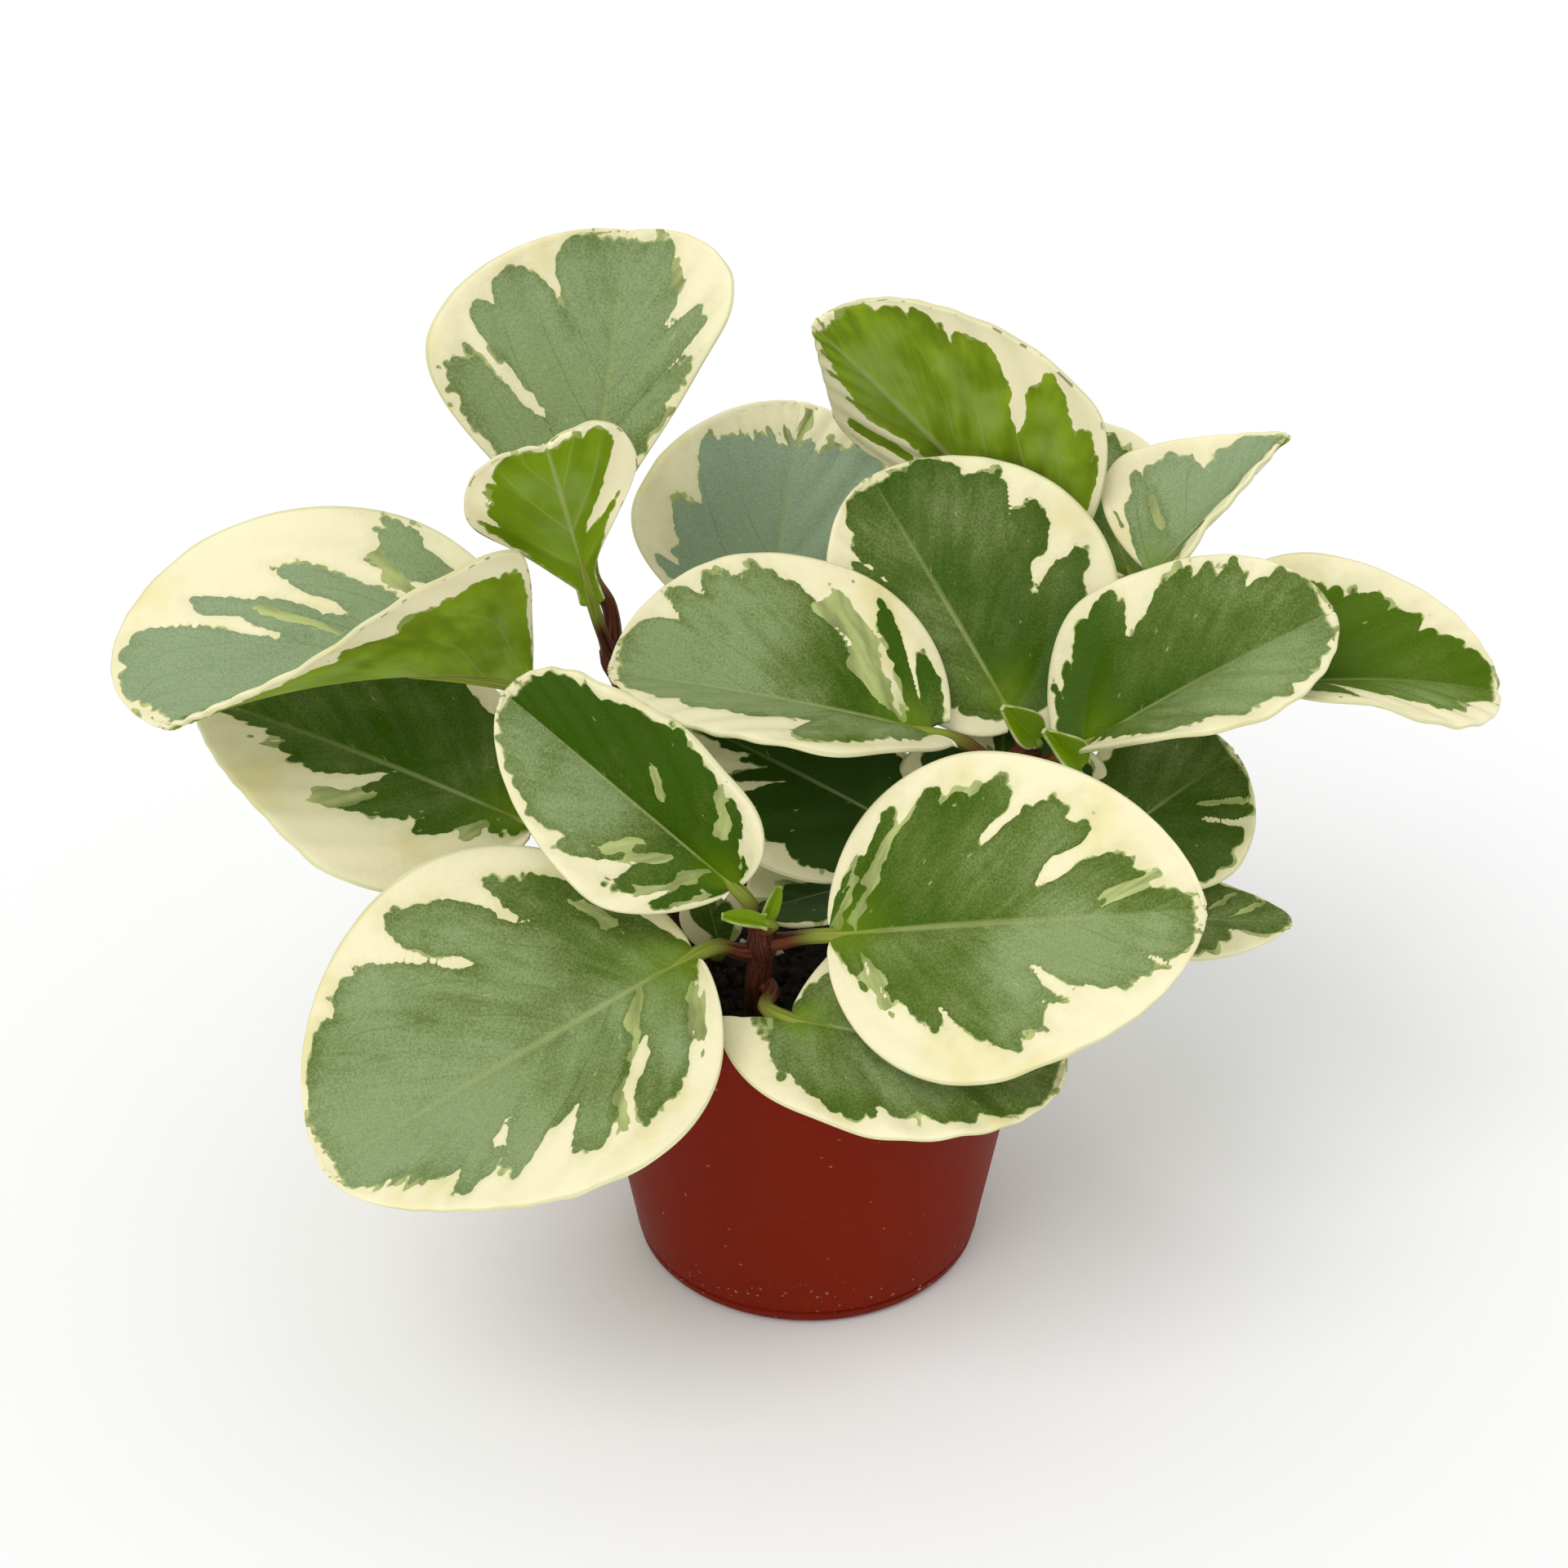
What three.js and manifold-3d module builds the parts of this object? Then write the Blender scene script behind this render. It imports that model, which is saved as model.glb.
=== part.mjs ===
// Potted peperomia: a variegated baby rubber plant in a plastic nursery pot.
// Millimetres, +Z up. The origin is the middle of the pot's flat underside.

import * as THREE from 'three';
import { mergeVertices } from 'three/addons/utils/BufferGeometryUtils.js';
import Module from 'manifold-3d';

const wasm = await Module();
wasm.setup();

// Driving dimensions of the pot
const POT_HEIGHT = 97;
const POT_MOUTH_DIAMETER = 120;
const POT_BASE_DIAMETER = 84;
const POT_WALL = 1.5;
const POT_SIDES = 36;
const LIP_HEIGHT = 9;
const LIP_STEP = 1.8;
const FOOT_WIDTH = 5;
const BOSS_DIAMETER = 24;
const UNDERSIDE_RECESS = 2;
const CORNER_RADIUS = 3;
const DRAIN_HOLES = 6;
const DRAIN_HOLE_DIAMETER = 8;
const DRAIN_CIRCLE_DIAMETER = 48;

// Driving dimensions of the soil and of the plant
const SOIL_EDGE_HEIGHT = 84;
const SOIL_CROWN = 3.5;
const TOUCH_GAP = 0.3;
const BLADE_THICKNESS = 1.3;
const TIP_HALF_WIDTH = 0.9;
const STALK_RADIUS = 1.9;
const STALK_FLARE = 2.4;
const STALK_END_RADIUS = 0.8;
const STALK_SIDES = 6;
const STALK_STEPS = 5;
const RIB_REACH = 0.06;
const STEM_SIDES = 9;
const STEM_STEPS_PER_SPAN = 3;
const JOINT_SWELL = 1.25;
const JOINT_HALF_LENGTH = 3;

// Stems, from inside the soil to the tip. Radius is that of the plain stem, and joints are
// the places along it, from 0 to 1, where leaf stalks leave and the stem is swollen.
const STEMS = [
  { name: 'stem_front', radius: 3.2, joints: [0.84],
    points: [[-12, -31, 62], [-12, -32, 86], [-12, -36, 100], [-11, -39, 112], [-11, -40, 121]] },
  { name: 'stem_tall_left', radius: 3, joints: [0.45, 0.95],
    points: [[-18, 0, 62], [-21, 2, 86], [-30, 4, 115], [-41, 7, 145], [-47, 8, 165]] },
  { name: 'stem_centre_right', radius: 3.1, joints: [0.3, 0.93],
    points: [[16, 3, 62], [22, 4, 86], [34, 5, 110], [47, 5, 130], [54, 5, 139]] },
  { name: 'stem_left', radius: 2.9, joints: [0.55, 0.95],
    points: [[-24, -11, 62], [-27, -10, 86], [-40, -8, 110], [-50, -6, 134], [-55, -4, 149]] },
  { name: 'stem_back', radius: 2.9, joints: [0.5, 0.94],
    points: [[0, 28, 62], [0, 30, 86], [1, 35, 110], [-2, 39, 130], [-4, 41, 139]] },
  { name: 'stem_back_right', radius: 3, joints: [0.5, 0.95],
    points: [[24, 20, 62], [30, 23, 86], [46, 29, 110], [62, 33, 136], [70, 35, 151]] },
];

// Shape of a leaf where its entry below gives nothing else. A pair is the left and the
// right half, seen from above with the tip ahead.
const USUAL_LEAF = {
  half: 25,            // width of a half, laid flat
  widest: 0.45,        // where it is widest, 0 at the base and 1 at the tip
  baseCurve: 1.9,      // fullness of the outline below the widest place
  tipCurve: 1.9,       // fullness above it
  arch: 8,             // bend of the midrib, in degrees, that lowers the tip
  fold: 8,             // angle at which a half rises from the midrib
  curl: 8,             // further bend between the midrib and the margin
  fade: 0,             // share of fold and curl that is gone at the tip
  twist: 0,            // turn of the blade between base and tip
  lobe: 0,             // how far the base of a half reaches back past the stalk
  notch: 0,            // how far a half reaches out past the end of the midrib
  stalk: 1,            // thickness of the stalk, as a share of the usual
  rows: 10,
  columns: 6,
};

// Leaves. start is a point inside the stem, leave the way in which the stalk sets out, base
// and tip are the ends of the midrib, and face is the way in which the upper side looks.
const LEAVES = [
  { name: 'leaf_top_left', start: [-46, 10, 163], leave: [0, 0.3, 1], base: [-51, 15, 189],
    tip: [-42, 45, 252], face: [0.15, -0.87, 0.45], half: [44, 28], widest: [0.52, 0.74],
    baseCurve: [1.3, 1], tipCurve: [1.9, 2.3], arch: -8, fold: [5, 10], curl: [8, 30],
    notch: [0, 6] },
  { name: 'leaf_top_young', start: [-47, 6, 164], leave: [-0.2, -0.5, 1], base: [-50, 0, 180],
    tip: [-58, -12, 225], face: [0.1, 0.9, 0.3], half: [19, 22.5], widest: [0.63, 0.56],
    baseCurve: [0.75, 0.85], tipCurve: [2.9, 2.25], arch: 5, fold: [20, -15], curl: [20, 5],
    notch: 5, stalk: 0.8 },
  { name: 'leaf_left_folded', start: [-55, -4, 147], leave: [-0.6, 0, 1], base: [-65, -2, 160],
    tip: [-146, -25, 161], face: [0, -0.2, 0.97], half: [43.5, 49], widest: [0.16, 0.64],
    baseCurve: [1, 1.9], tipCurve: [1.2, 1.9], arch: 42, fold: [95, 14], curl: [15, 45],
    fade: [0.78, 0.85], twist: 20, notch: [0, 35], rows: 12 },
  { name: 'leaf_left_lower', start: [-43, -8, 118], leave: [-1, 0.3, 0.1], base: [-66, 0, 119],
    tip: [-146, 12, 148], face: [-0.15, -0.2, 0.95], half: [38, 37], widest: [0.43, 0.5],
    tipCurve: [1.4, 1.9], arch: 10, fold: [-4, 8] },
  { name: 'leaf_front_upper', start: [-11, -39, 115], leave: [-0.5, -0.5, 1],
    base: [-17, -45, 131], tip: [-68, -28, 172], face: [-0.2, -0.7, 0.6],
    half: [24, 30], widest: [0.33, 0.51], baseCurve: [1.4, 3], tipCurve: [1.8, 2.3], arch: 5,
    fold: [8, 46] },
  { name: 'leaf_front_left', start: [-11, -38, 109], leave: [-1, -0.3, 0.2],
    base: [-26, -46, 114], tip: [-108, -85, 82], face: [-0.1, -0.7, 0.7], half: [44, 50],
    widest: [0.36, 0.45], tipCurve: [1.65, 1.9], fold: [20, 0], curl: [12, 8] },
  { name: 'leaf_front_right', start: [-11, -39, 112], leave: [1, -0.3, 0.3],
    base: [4, -46, 119], tip: [85, -70, 142], face: [-0.1, -0.75, 0.65], half: [39, 38],
    widest: 0.42, tipCurve: 1.75, fold: [2, 12], curl: [4, 8] },
  { name: 'leaf_front_low', start: [-12, -34, 98], leave: [0.6, -1, 0.4], base: [-5, -56, 103],
    tip: [56, -75, 100], face: [0, -0.45, 0.88], half: [30, 27], widest: 0.36, fold: [2, 6],
    lobe: [0, 16] },
  { name: 'leaf_middle', start: [50, 4, 133], leave: [-1, -0.7, 0.5], base: [28, -1, 146],
    tip: [-46, -9, 166], face: [0, -0.35, 0.94], half: [41, 38],
    widest: [0.48, 0.51], baseCurve: [1.3, 2.6], tipCurve: [1.5, 1.75], arch: 10,
    fold: [36, 14], curl: [1, 8], fade: [0.15, 0], lobe: [7, 5] },
  { name: 'leaf_middle_tall', start: [52, 6, 135], leave: [-0.4, 1, 0.6],
    base: [48, 13, 143], tip: [15, 46, 189], face: [0, -0.8, 0.5], half: [26, 41],
    widest: [0.55, 0.42], baseCurve: [2.2, 2.1], fold: [14, 0], curl: [10, 5], lobe: [4, 9] },
  { name: 'leaf_right', start: [52, 4, 133], leave: [1, -0.4, 0.4], base: [65, -2, 143],
    tip: [119, -5, 180], face: [-0.1, -0.45, 0.9], half: 32, widest: [0.26, 0.35],
    baseCurve: [1.75, 1.05], tipCurve: [2, 1.8], fold: [15, 60], curl: [5, 10],
    fade: [0, 0.9], lobe: [7, 6] },
  { name: 'leaf_back_tall', start: [66, 35, 145], leave: [-0.7, 0.6, 0.8],
    base: [60, 50, 163], tip: [1, 62, 222], face: [0.1, 0.8, 0.5], half: [42, 32],
    widest: [0.35, 0.66], baseCurve: [1.7, 0.85], tipCurve: [2.2, 1], arch: 12, fold: [2, 7],
    curl: [10, 12] },
  { name: 'leaf_back_middle', start: [-3, 40, 134], leave: [-0.5, 1, 0.5],
    base: [-11, 53, 137], tip: [-2, 96, 186], face: [0, -0.8, 0.6], half: [40, 35],
    widest: [0.44, 0.52], baseCurve: 1.6, tipCurve: [1.8, 1.9], arch: -8, fold: [10, 0],
    curl: [20, 5] },
  { name: 'leaf_back_right', start: [68, 34, 146], leave: [0.8, -0.5, 1], base: [82, 31, 171],
    tip: [114, 45, 201], face: [-0.3, -0.6, 0.6], half: [26.5, 19.5], widest: [0.35, 0.2],
    baseCurve: [2.7, 2.4], tipCurve: [1.15, 0.9], arch: -5, fold: [5, 54], curl: [5, 7],
    fade: [0, -0.3] },
  { name: 'leaf_back_hidden', start: [57, 32, 127], leave: [0.3, 1, 0.4],
    base: [80, 55, 158], tip: [66, 88, 184], face: [0.1, -0.5, 0.85], half: 20, rows: 8, columns: 4 },
  { name: 'leaf_far_right', start: [61, 32, 134], leave: [1, -0.3, 0.9], base: [95, 12, 148],
    tip: [162, 5, 153], face: [0, -0.35, 0.94], half: [32, 28], widest: [0.34, 0.5],
    baseCurve: [2.3, 1.9], tipCurve: [1.65, 1.9], arch: 35, fold: [25, 60], curl: 10, fade: [0.2, 0.8] },
  { name: 'leaf_right_lower', start: [33, 4, 107], leave: [1, -0.2, -0.1], base: [69, 0, 112],
    tip: [102, 9, 134], face: [0.1, -0.6, 0.8], half: [21, 25], widest: 0.55, fold: [2, 6] },
  { name: 'leaf_right_low', start: [25, 4, 92], leave: [1, -0.3, 0.6], base: [80, -13, 102],
    tip: [115, -16, 102], face: [0.1, -0.3, 0.9], half: 13, widest: 0.3, tipCurve: 1.5,
    arch: -8, fold: 6, curl: -10, rows: 8, columns: 4 },
  { name: 'leaf_inner_dark', start: [35, 4, 112], leave: [-1, -0.2, 0.2], base: [23, 0, 118],
    tip: [-28, 0, 148], face: [0, -0.5, 0.85], half: 29, widest: 0.5, fold: 6, rows: 8,
    columns: 4 },
  { name: 'leaf_inner_low', start: [24, 4, 92], leave: [-0.6, -0.5, 1], base: [9, -9, 107],
    tip: [-13, -26, 111], face: [-0.2, -0.3, 0.9], half: 14, rows: 8, columns: 4 },
  { name: 'leaf_inner_striped', start: [-28, -10, 91], leave: [0.6, -0.8, 0.2],
    base: [-21, -20, 97], tip: [-25, -18, 114], face: [0.1, -0.9, 0.3], half: 8,
    widest: 0.6, rows: 6, columns: 4, stalk: 0.7 },
  { name: 'leaf_right_bud', start: [54, 5, 137], leave: [0, -0.4, 1], base: [54, 3, 141],
    tip: [45, 0, 152], face: [-0.3, -0.6, 0.8], half: 6, widest: 0.5, rows: 6, columns: 4,
    stalk: 0.6 },
  { name: 'leaf_front_bud', start: [-11, -40, 116], leave: [0.3, -1, 0.3],
    base: [-10, -50, 125], tip: [-20, -52, 128], face: [0, -0.5, 0.9], half: 2.4, widest: 0.4,
    fold: 20, rows: 6, columns: 4, stalk: 0.5 },
  { name: 'leaf_rear_middle', start: [1, 36, 108], leave: [0.1, 1, 0.7], base: [5, 52, 116],
    tip: [20, 112, 106], face: [0.1, 0.25, 0.95], half: 28, arch: 25, rows: 8, columns: 4 },
  { name: 'leaf_rear_right', start: [46, 29, 110], leave: [0.6, 0.8, 0.5],
    base: [58, 47, 118], tip: [108, 84, 112], face: [0.2, 0.2, 0.95], half: 27, arch: 22,
    rows: 8, columns: 4 },
  { name: 'leaf_rear_inner', start: [1, 37, 117], leave: [0.9, 0.6, 0.7], base: [22, 48, 130],
    tip: [62, 104, 128], face: [0, 0.2, 0.95], half: 26, arch: 20, rows: 8, columns: 4 },
  { name: 'leaf_rear_left', start: [-31, 5, 117], leave: [-0.3, 1, 0.1], base: [-45, 28, 114],
    tip: [-108, 62, 108], face: [-0.1, 0.15, 0.97], half: 28, arch: 22, rows: 8, columns: 4 },
];

// Closed mesh as plain lists

class Shape {
  constructor() {
    this.points = [];
    this.triangles = [];
  }

  add(point) {
    this.points.push(point.x, point.y, point.z);
    return this.points.length / 3 - 1;
  }

  triangle(a, b, c) {
    this.triangles.push(a, b, c);
  }

  quad(a, b, c, d) {
    this.triangle(a, b, c);
    this.triangle(a, c, d);
  }

  solid() {
    return new wasm.Manifold(new wasm.Mesh({
      numProp: 3,
      vertProperties: new Float32Array(this.points),
      triVerts: new Uint32Array(this.triangles),
    }));
  }
}

function vector(list) {
  return new THREE.Vector3(...list);
}

function solidFromGeometry(geometry) {
  geometry.deleteAttribute('normal');
  geometry.deleteAttribute('uv');
  const merged = mergeVertices(geometry, 1e-4);
  return new wasm.Manifold(new wasm.Mesh({
    numProp: 3,
    vertProperties: new Float32Array(merged.attributes.position.array),
    triVerts: new Uint32Array(merged.index.array),
  }));
}

function largestBody(solid) {
  const bodies = solid.decompose();
  return bodies.reduce((best, body) => (body.volume() > best.volume() ? body : best));
}

function meshFromSolid(name, solid, material) {
  const { vertProperties, triVerts } = solid.getMesh();
  const geometry = new THREE.BufferGeometry();
  geometry.setAttribute('position', new THREE.BufferAttribute(vertProperties, 3));
  geometry.setIndex(new THREE.BufferAttribute(triVerts, 1));
  geometry.computeVertexNormals();
  const mesh = new THREE.Mesh(geometry, material);
  mesh.name = name;
  return mesh;
}

// Tube along a smooth curve, with a radius for each place along it

function tube(points, radiusAt, sides, steps) {
  const curve = new THREE.CatmullRomCurve3(points, false, 'centripetal');
  const frames = curve.computeFrenetFrames(steps, false);
  const shape = new Shape();
  const rings = [];
  for (let step = 0; step <= steps; step += 1) {
    const place = step / steps;
    const centre = curve.getPointAt(place);
    const radius = radiusAt(place);
    const ring = [];
    for (let side = 0; side < sides; side += 1) {
      const angle = (side / sides) * 2 * Math.PI;
      const point = centre.clone()
        .addScaledVector(frames.normals[step], radius * Math.cos(angle))
        .addScaledVector(frames.binormals[step], radius * Math.sin(angle));
      ring.push(shape.add(point));
    }
    rings.push(ring);
  }
  const first = shape.add(curve.getPointAt(0));
  const last = shape.add(curve.getPointAt(1));
  for (let side = 0; side < sides; side += 1) {
    const next = (side + 1) % sides;
    for (let step = 0; step < steps; step += 1) {
      const [low, high] = [rings[step], rings[step + 1]];
      shape.quad(low[side], low[next], high[next], high[side]);
    }
    shape.triangle(first, rings[0][next], rings[0][side]);
    shape.triangle(last, rings[steps][side], rings[steps][next]);
  }
  return shape.solid();
}

// Stem with swollen joints and a rounded tip

function stemSolid(stem, gap) {
  const points = stem.points.map(vector);
  const [next, tip] = points.slice(-2);
  tip.addScaledVector(tip.clone().sub(next).normalize(), gap);
  points[0].z -= gap;
  const length = new THREE.CatmullRomCurve3(points, false, 'centripetal').getLength();
  const radiusAt = (place) => {
    let radius = stem.radius * (1.05 - 0.15 * place);
    for (const joint of stem.joints) {
      const away = Math.abs(place - joint) * length / JOINT_HALF_LENGTH;
      radius *= 1 + (JOINT_SWELL - 1) * Math.exp(-away * away);
    }
    const roundTip = Math.min(1, 0.65 + (1 - place) * length / stem.radius);
    return radius * roundTip + gap;
  };
  const steps = STEM_STEPS_PER_SPAN * (points.length - 1);
  return tube(points, radiusAt, STEM_SIDES, steps);
}

// Leaf blade: half width of the outline at u, and a point of the surface at u along the
// midrib and v across it, 1 at the left margin and -1 at the right one

function side(leaf, field, v) {
  const value = leaf[field];
  if (!Array.isArray(value)) {
    return value;
  }
  return v >= 0 ? value[0] : value[1];
}

function halfWidth(leaf, u, v) {
  const widest = side(leaf, 'widest', v);
  const towardBase = u < widest;
  const curve = side(leaf, towardBase ? 'baseCurve' : 'tipCurve', v);
  const away = towardBase ? (widest - u) / widest : (u - widest) / (1 - widest);
  const outline = side(leaf, 'half', v) * (1 - away ** curve) ** (1 / curve);
  return Math.max(outline, leaf.stalk * STALK_FLARE * (1 - u) ** 2 + TIP_HALF_WIDTH);
}

function bladePoint(leaf, u, v) {
  const base = vector(leaf.base);
  const along = vector(leaf.tip).sub(base);
  const chord = along.length();
  along.normalize();
  const up = vector(leaf.face);
  up.addScaledVector(along, -up.dot(along)).normalize();
  const across = up.clone().cross(along);

  const arch = THREE.MathUtils.degToRad(leaf.arch);
  const radius = chord / (2 * Math.sin(arch / 2));
  const slope = arch / 2 - arch * u;
  const forward = radius * (Math.sin(arch / 2) - Math.sin(slope));
  const rise = radius * (Math.cos(slope) - Math.cos(arch / 2));

  const width = halfWidth(leaf, u, v);
  const half = side(leaf, 'half', v);
  const kept = 1 - side(leaf, 'fade', v) * u;
  const fold = THREE.MathUtils.degToRad(side(leaf, 'fold', v)) * kept;
  const bend = (THREE.MathUtils.degToRad(side(leaf, 'curl', v)) / half) * kept;
  const run = Math.abs(v) * width;
  let sideways = (Math.sin(fold + bend * run) - Math.sin(fold)) / bend;
  let lift = (Math.cos(fold) - Math.cos(fold + bend * run)) / bend;
  sideways *= v >= 0 ? 1 : -1;
  const twist = THREE.MathUtils.degToRad(leaf.twist) * (u - 0.5);
  [sideways, lift] = [
    sideways * Math.cos(twist) - lift * Math.sin(twist),
    sideways * Math.sin(twist) + lift * Math.cos(twist),
  ];
  const reach = side(leaf, 'notch', v) * Math.abs(v) ** 1.5 * (width / half) * u ** 3
    - side(leaf, 'lobe', v) * v * v * (1 - u) ** 3;

  const tangent = along.clone().multiplyScalar(Math.cos(slope)).addScaledVector(up, Math.sin(slope));
  const normal = up.clone().multiplyScalar(Math.cos(slope)).addScaledVector(along, -Math.sin(slope));
  return base.addScaledVector(along, forward).addScaledVector(up, rise)
    .addScaledVector(tangent, reach).addScaledVector(across, sideways)
    .addScaledVector(normal, lift);
}

function bladeNormal(leaf, u, v) {
  const step = 0.02;
  const lengthways = bladePoint(leaf, Math.min(u + step, 1), v)
    .sub(bladePoint(leaf, Math.max(u - step, 0), v));
  const crossways = bladePoint(leaf, u, Math.min(v + step, 1))
    .sub(bladePoint(leaf, u, Math.max(v - step, -1)));
  return lengthways.cross(crossways).normalize();
}

// The blade is a grid of points on each face. Both faces are split into triangles alike,
// and a rim of quads closes the margin.

function bladeSolid(leaf) {
  const shape = new Shape();
  const { rows, columns } = leaf;
  const upper = [];
  const lower = [];
  for (let row = 0; row <= rows; row += 1) {
    const u = (1 - Math.cos((Math.PI * row) / rows)) / 2;
    upper.push([]);
    lower.push([]);
    for (let column = 0; column <= columns; column += 1) {
      const v = 1 - (2 * column) / columns;
      const point = bladePoint(leaf, u, v);
      const offset = bladeNormal(leaf, u, v).multiplyScalar(BLADE_THICKNESS / 2);
      upper[row].push(shape.add(point.clone().add(offset)));
      lower[row].push(shape.add(point.clone().sub(offset)));
    }
  }
  for (let row = 0; row < rows; row += 1) {
    for (let column = 0; column < columns; column += 1) {
      const corners = (face) => [face[row][column], face[row][column + 1],
        face[row + 1][column + 1], face[row + 1][column]];
      const [a, b, c, d] = corners(upper);
      shape.quad(a, b, c, d);
      const [e, f, g, h] = corners(lower);
      shape.triangle(e, g, f);
      shape.triangle(e, h, g);
    }
  }
  const margin = [];
  for (let column = 0; column < columns; column += 1) {
    margin.push([0, column]);
  }
  for (let row = 0; row < rows; row += 1) {
    margin.push([row, columns]);
  }
  for (let column = columns; column > 0; column -= 1) {
    margin.push([rows, column]);
  }
  for (let row = rows; row > 0; row -= 1) {
    margin.push([row, 0]);
  }
  margin.forEach(([row, column], index) => {
    const [nextRow, nextColumn] = margin[(index + 1) % margin.length];
    shape.quad(upper[row][column], lower[row][column],
      lower[nextRow][nextColumn], upper[nextRow][nextColumn]);
  });
  return shape.solid();
}

// The stalk runs from inside the stem to the base and thins out along the midrib

function stalkSolid(leaf) {
  const start = vector(leaf.start);
  const base = vector(leaf.base);
  const reach = start.distanceTo(base) * 0.35;
  const rib = bladePoint(leaf, RIB_REACH, 0);
  const approach = rib.clone().sub(base).normalize();
  const points = [
    start,
    start.clone().addScaledVector(vector(leaf.leave).normalize(), reach),
    base.clone().addScaledVector(approach, -reach),
    base,
    rib,
  ];
  const radiusAt = (place) => {
    const flare = Math.max(0, 1 - place / 0.25);
    const thin = Math.max(0, (place - 0.75) / 0.25);
    return leaf.stalk * (STALK_RADIUS + (STALK_FLARE - STALK_RADIUS) * flare
      + (STALK_END_RADIUS - STALK_RADIUS) * thin);
  };
  return tube(points, radiusAt, STALK_SIDES, STALK_STEPS);
}

// Pot: the outline is turned round Z, then the drain holes are cut

function potOutline() {
  const baseRadius = POT_BASE_DIAMETER / 2;
  const lipRadius = POT_MOUTH_DIAMETER / 2;
  const lipBottom = POT_HEIGHT - LIP_HEIGHT;
  const wallTop = lipRadius - LIP_STEP;
  const cornerTop = baseRadius + CORNER_RADIUS * 0.65;
  const insideFloor = UNDERSIDE_RECESS + POT_WALL;
  const points = [[0, 0], [BOSS_DIAMETER / 2, 0], [BOSS_DIAMETER / 2 + 1, UNDERSIDE_RECESS],
    [baseRadius - CORNER_RADIUS - FOOT_WIDTH - 1, UNDERSIDE_RECESS],
    [baseRadius - CORNER_RADIUS - FOOT_WIDTH, 0], [baseRadius - CORNER_RADIUS * 0.5, 0],
    [baseRadius + CORNER_RADIUS * 0.35, CORNER_RADIUS * 0.35], [cornerTop, CORNER_RADIUS],
    [wallTop, lipBottom], [lipRadius, lipBottom + 0.4], [lipRadius, POT_HEIGHT - 1],
    [lipRadius - 0.8, POT_HEIGHT], [wallTop - POT_WALL, POT_HEIGHT],
    [wallTop - POT_WALL, lipBottom], [cornerTop - POT_WALL, insideFloor + 3],
    [cornerTop - POT_WALL - 3, insideFloor], [0, insideFloor]];
  return points;
}

function turned(points) {
  const outline = points.map(([radius, height]) => new THREE.Vector2(radius, height));
  const geometry = new THREE.LatheGeometry(outline, POT_SIDES);
  geometry.rotateX(Math.PI / 2);
  return solidFromGeometry(geometry);
}

function potSolid() {
  let pot = turned(potOutline());
  for (let hole = 0; hole < DRAIN_HOLES; hole += 1) {
    const angle = (hole / DRAIN_HOLES) * 2 * Math.PI;
    const drill = new THREE.CylinderGeometry(DRAIN_HOLE_DIAMETER / 2, DRAIN_HOLE_DIAMETER / 2, 20, 12);
    drill.rotateX(Math.PI / 2);
    drill.translate((DRAIN_CIRCLE_DIAMETER / 2) * Math.cos(angle),
      (DRAIN_CIRCLE_DIAMETER / 2) * Math.sin(angle), 0);
    pot = pot.subtract(solidFromGeometry(drill));
  }
  return pot;
}

// Soil fills the pot, a gap clear of its wall, and rises a little toward the middle

function soilSolid(cutters) {
  const outline = potOutline();
  const [wallTop, wallFoot, floorEdge, floorCentre] = outline.slice(-4);
  const slope = (wallTop[0] - wallFoot[0]) / (wallTop[1] - wallFoot[1]);
  const edgeRadius = wallFoot[0] + slope * (SOIL_EDGE_HEIGHT - wallFoot[1]);
  const points = [[0, floorCentre[1] + TOUCH_GAP], [floorEdge[0] - TOUCH_GAP, floorEdge[1] + TOUCH_GAP],
    [wallFoot[0] - TOUCH_GAP, wallFoot[1] + TOUCH_GAP], [edgeRadius - TOUCH_GAP, SOIL_EDGE_HEIGHT]];
  for (const share of [0.8, 0.55, 0.3]) {
    points.push([edgeRadius * share, SOIL_EDGE_HEIGHT + SOIL_CROWN * (1 - share * share)]);
  }
  points.push([0, SOIL_EDGE_HEIGHT + SOIL_CROWN]);
  return cutters.reduce((soil, cutter) => soil.subtract(cutter), turned(points));
}

// Materials

const potPlastic = new THREE.MeshStandardMaterial({ color: 0x7d2616, roughness: 0.6 });
const darkSoil = new THREE.MeshStandardMaterial({ color: 0x2a1d14, roughness: 1 });
const redStem = new THREE.MeshStandardMaterial({ color: 0x6b3524, roughness: 0.5 });
const leafGreen = new THREE.MeshStandardMaterial({ color: 0x6f8a5c, roughness: 0.45 });
const youngGreen = new THREE.MeshStandardMaterial({ color: 0x7c9c2c, roughness: 0.45 });
const YOUNG_LEAVES = ['leaf_top_young', 'leaf_right_bud'];

// Assembly

const plant = new THREE.Group();
const stemCutters = STEMS.map((stem) => stemSolid(stem, TOUCH_GAP));
const leafSolids = LEAVES.map((entry) => {
  const leaf = { ...USUAL_LEAF, ...entry };
  const whole = bladeSolid(leaf).add(stalkSolid(leaf));
  return largestBody(stemCutters.reduce((rest, cutter) => rest.subtract(cutter), whole));
});

plant.add(meshFromSolid('pot', potSolid(), potPlastic));
plant.add(meshFromSolid('soil', soilSolid(stemCutters), darkSoil));
STEMS.forEach((stem) => {
  plant.add(meshFromSolid(stem.name, stemSolid(stem, 0), redStem));
});
LEAVES.forEach((entry, index) => {
  const material = YOUNG_LEAVES.includes(entry.name) ? youngGreen : leafGreen;
  plant.add(meshFromSolid(entry.name, leafSolids[index], material));
});

export default plant;
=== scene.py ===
"""Looks of a potted peperomia: leaves with cream margins, stems, soil and a plastic pot."""

import math

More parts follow.
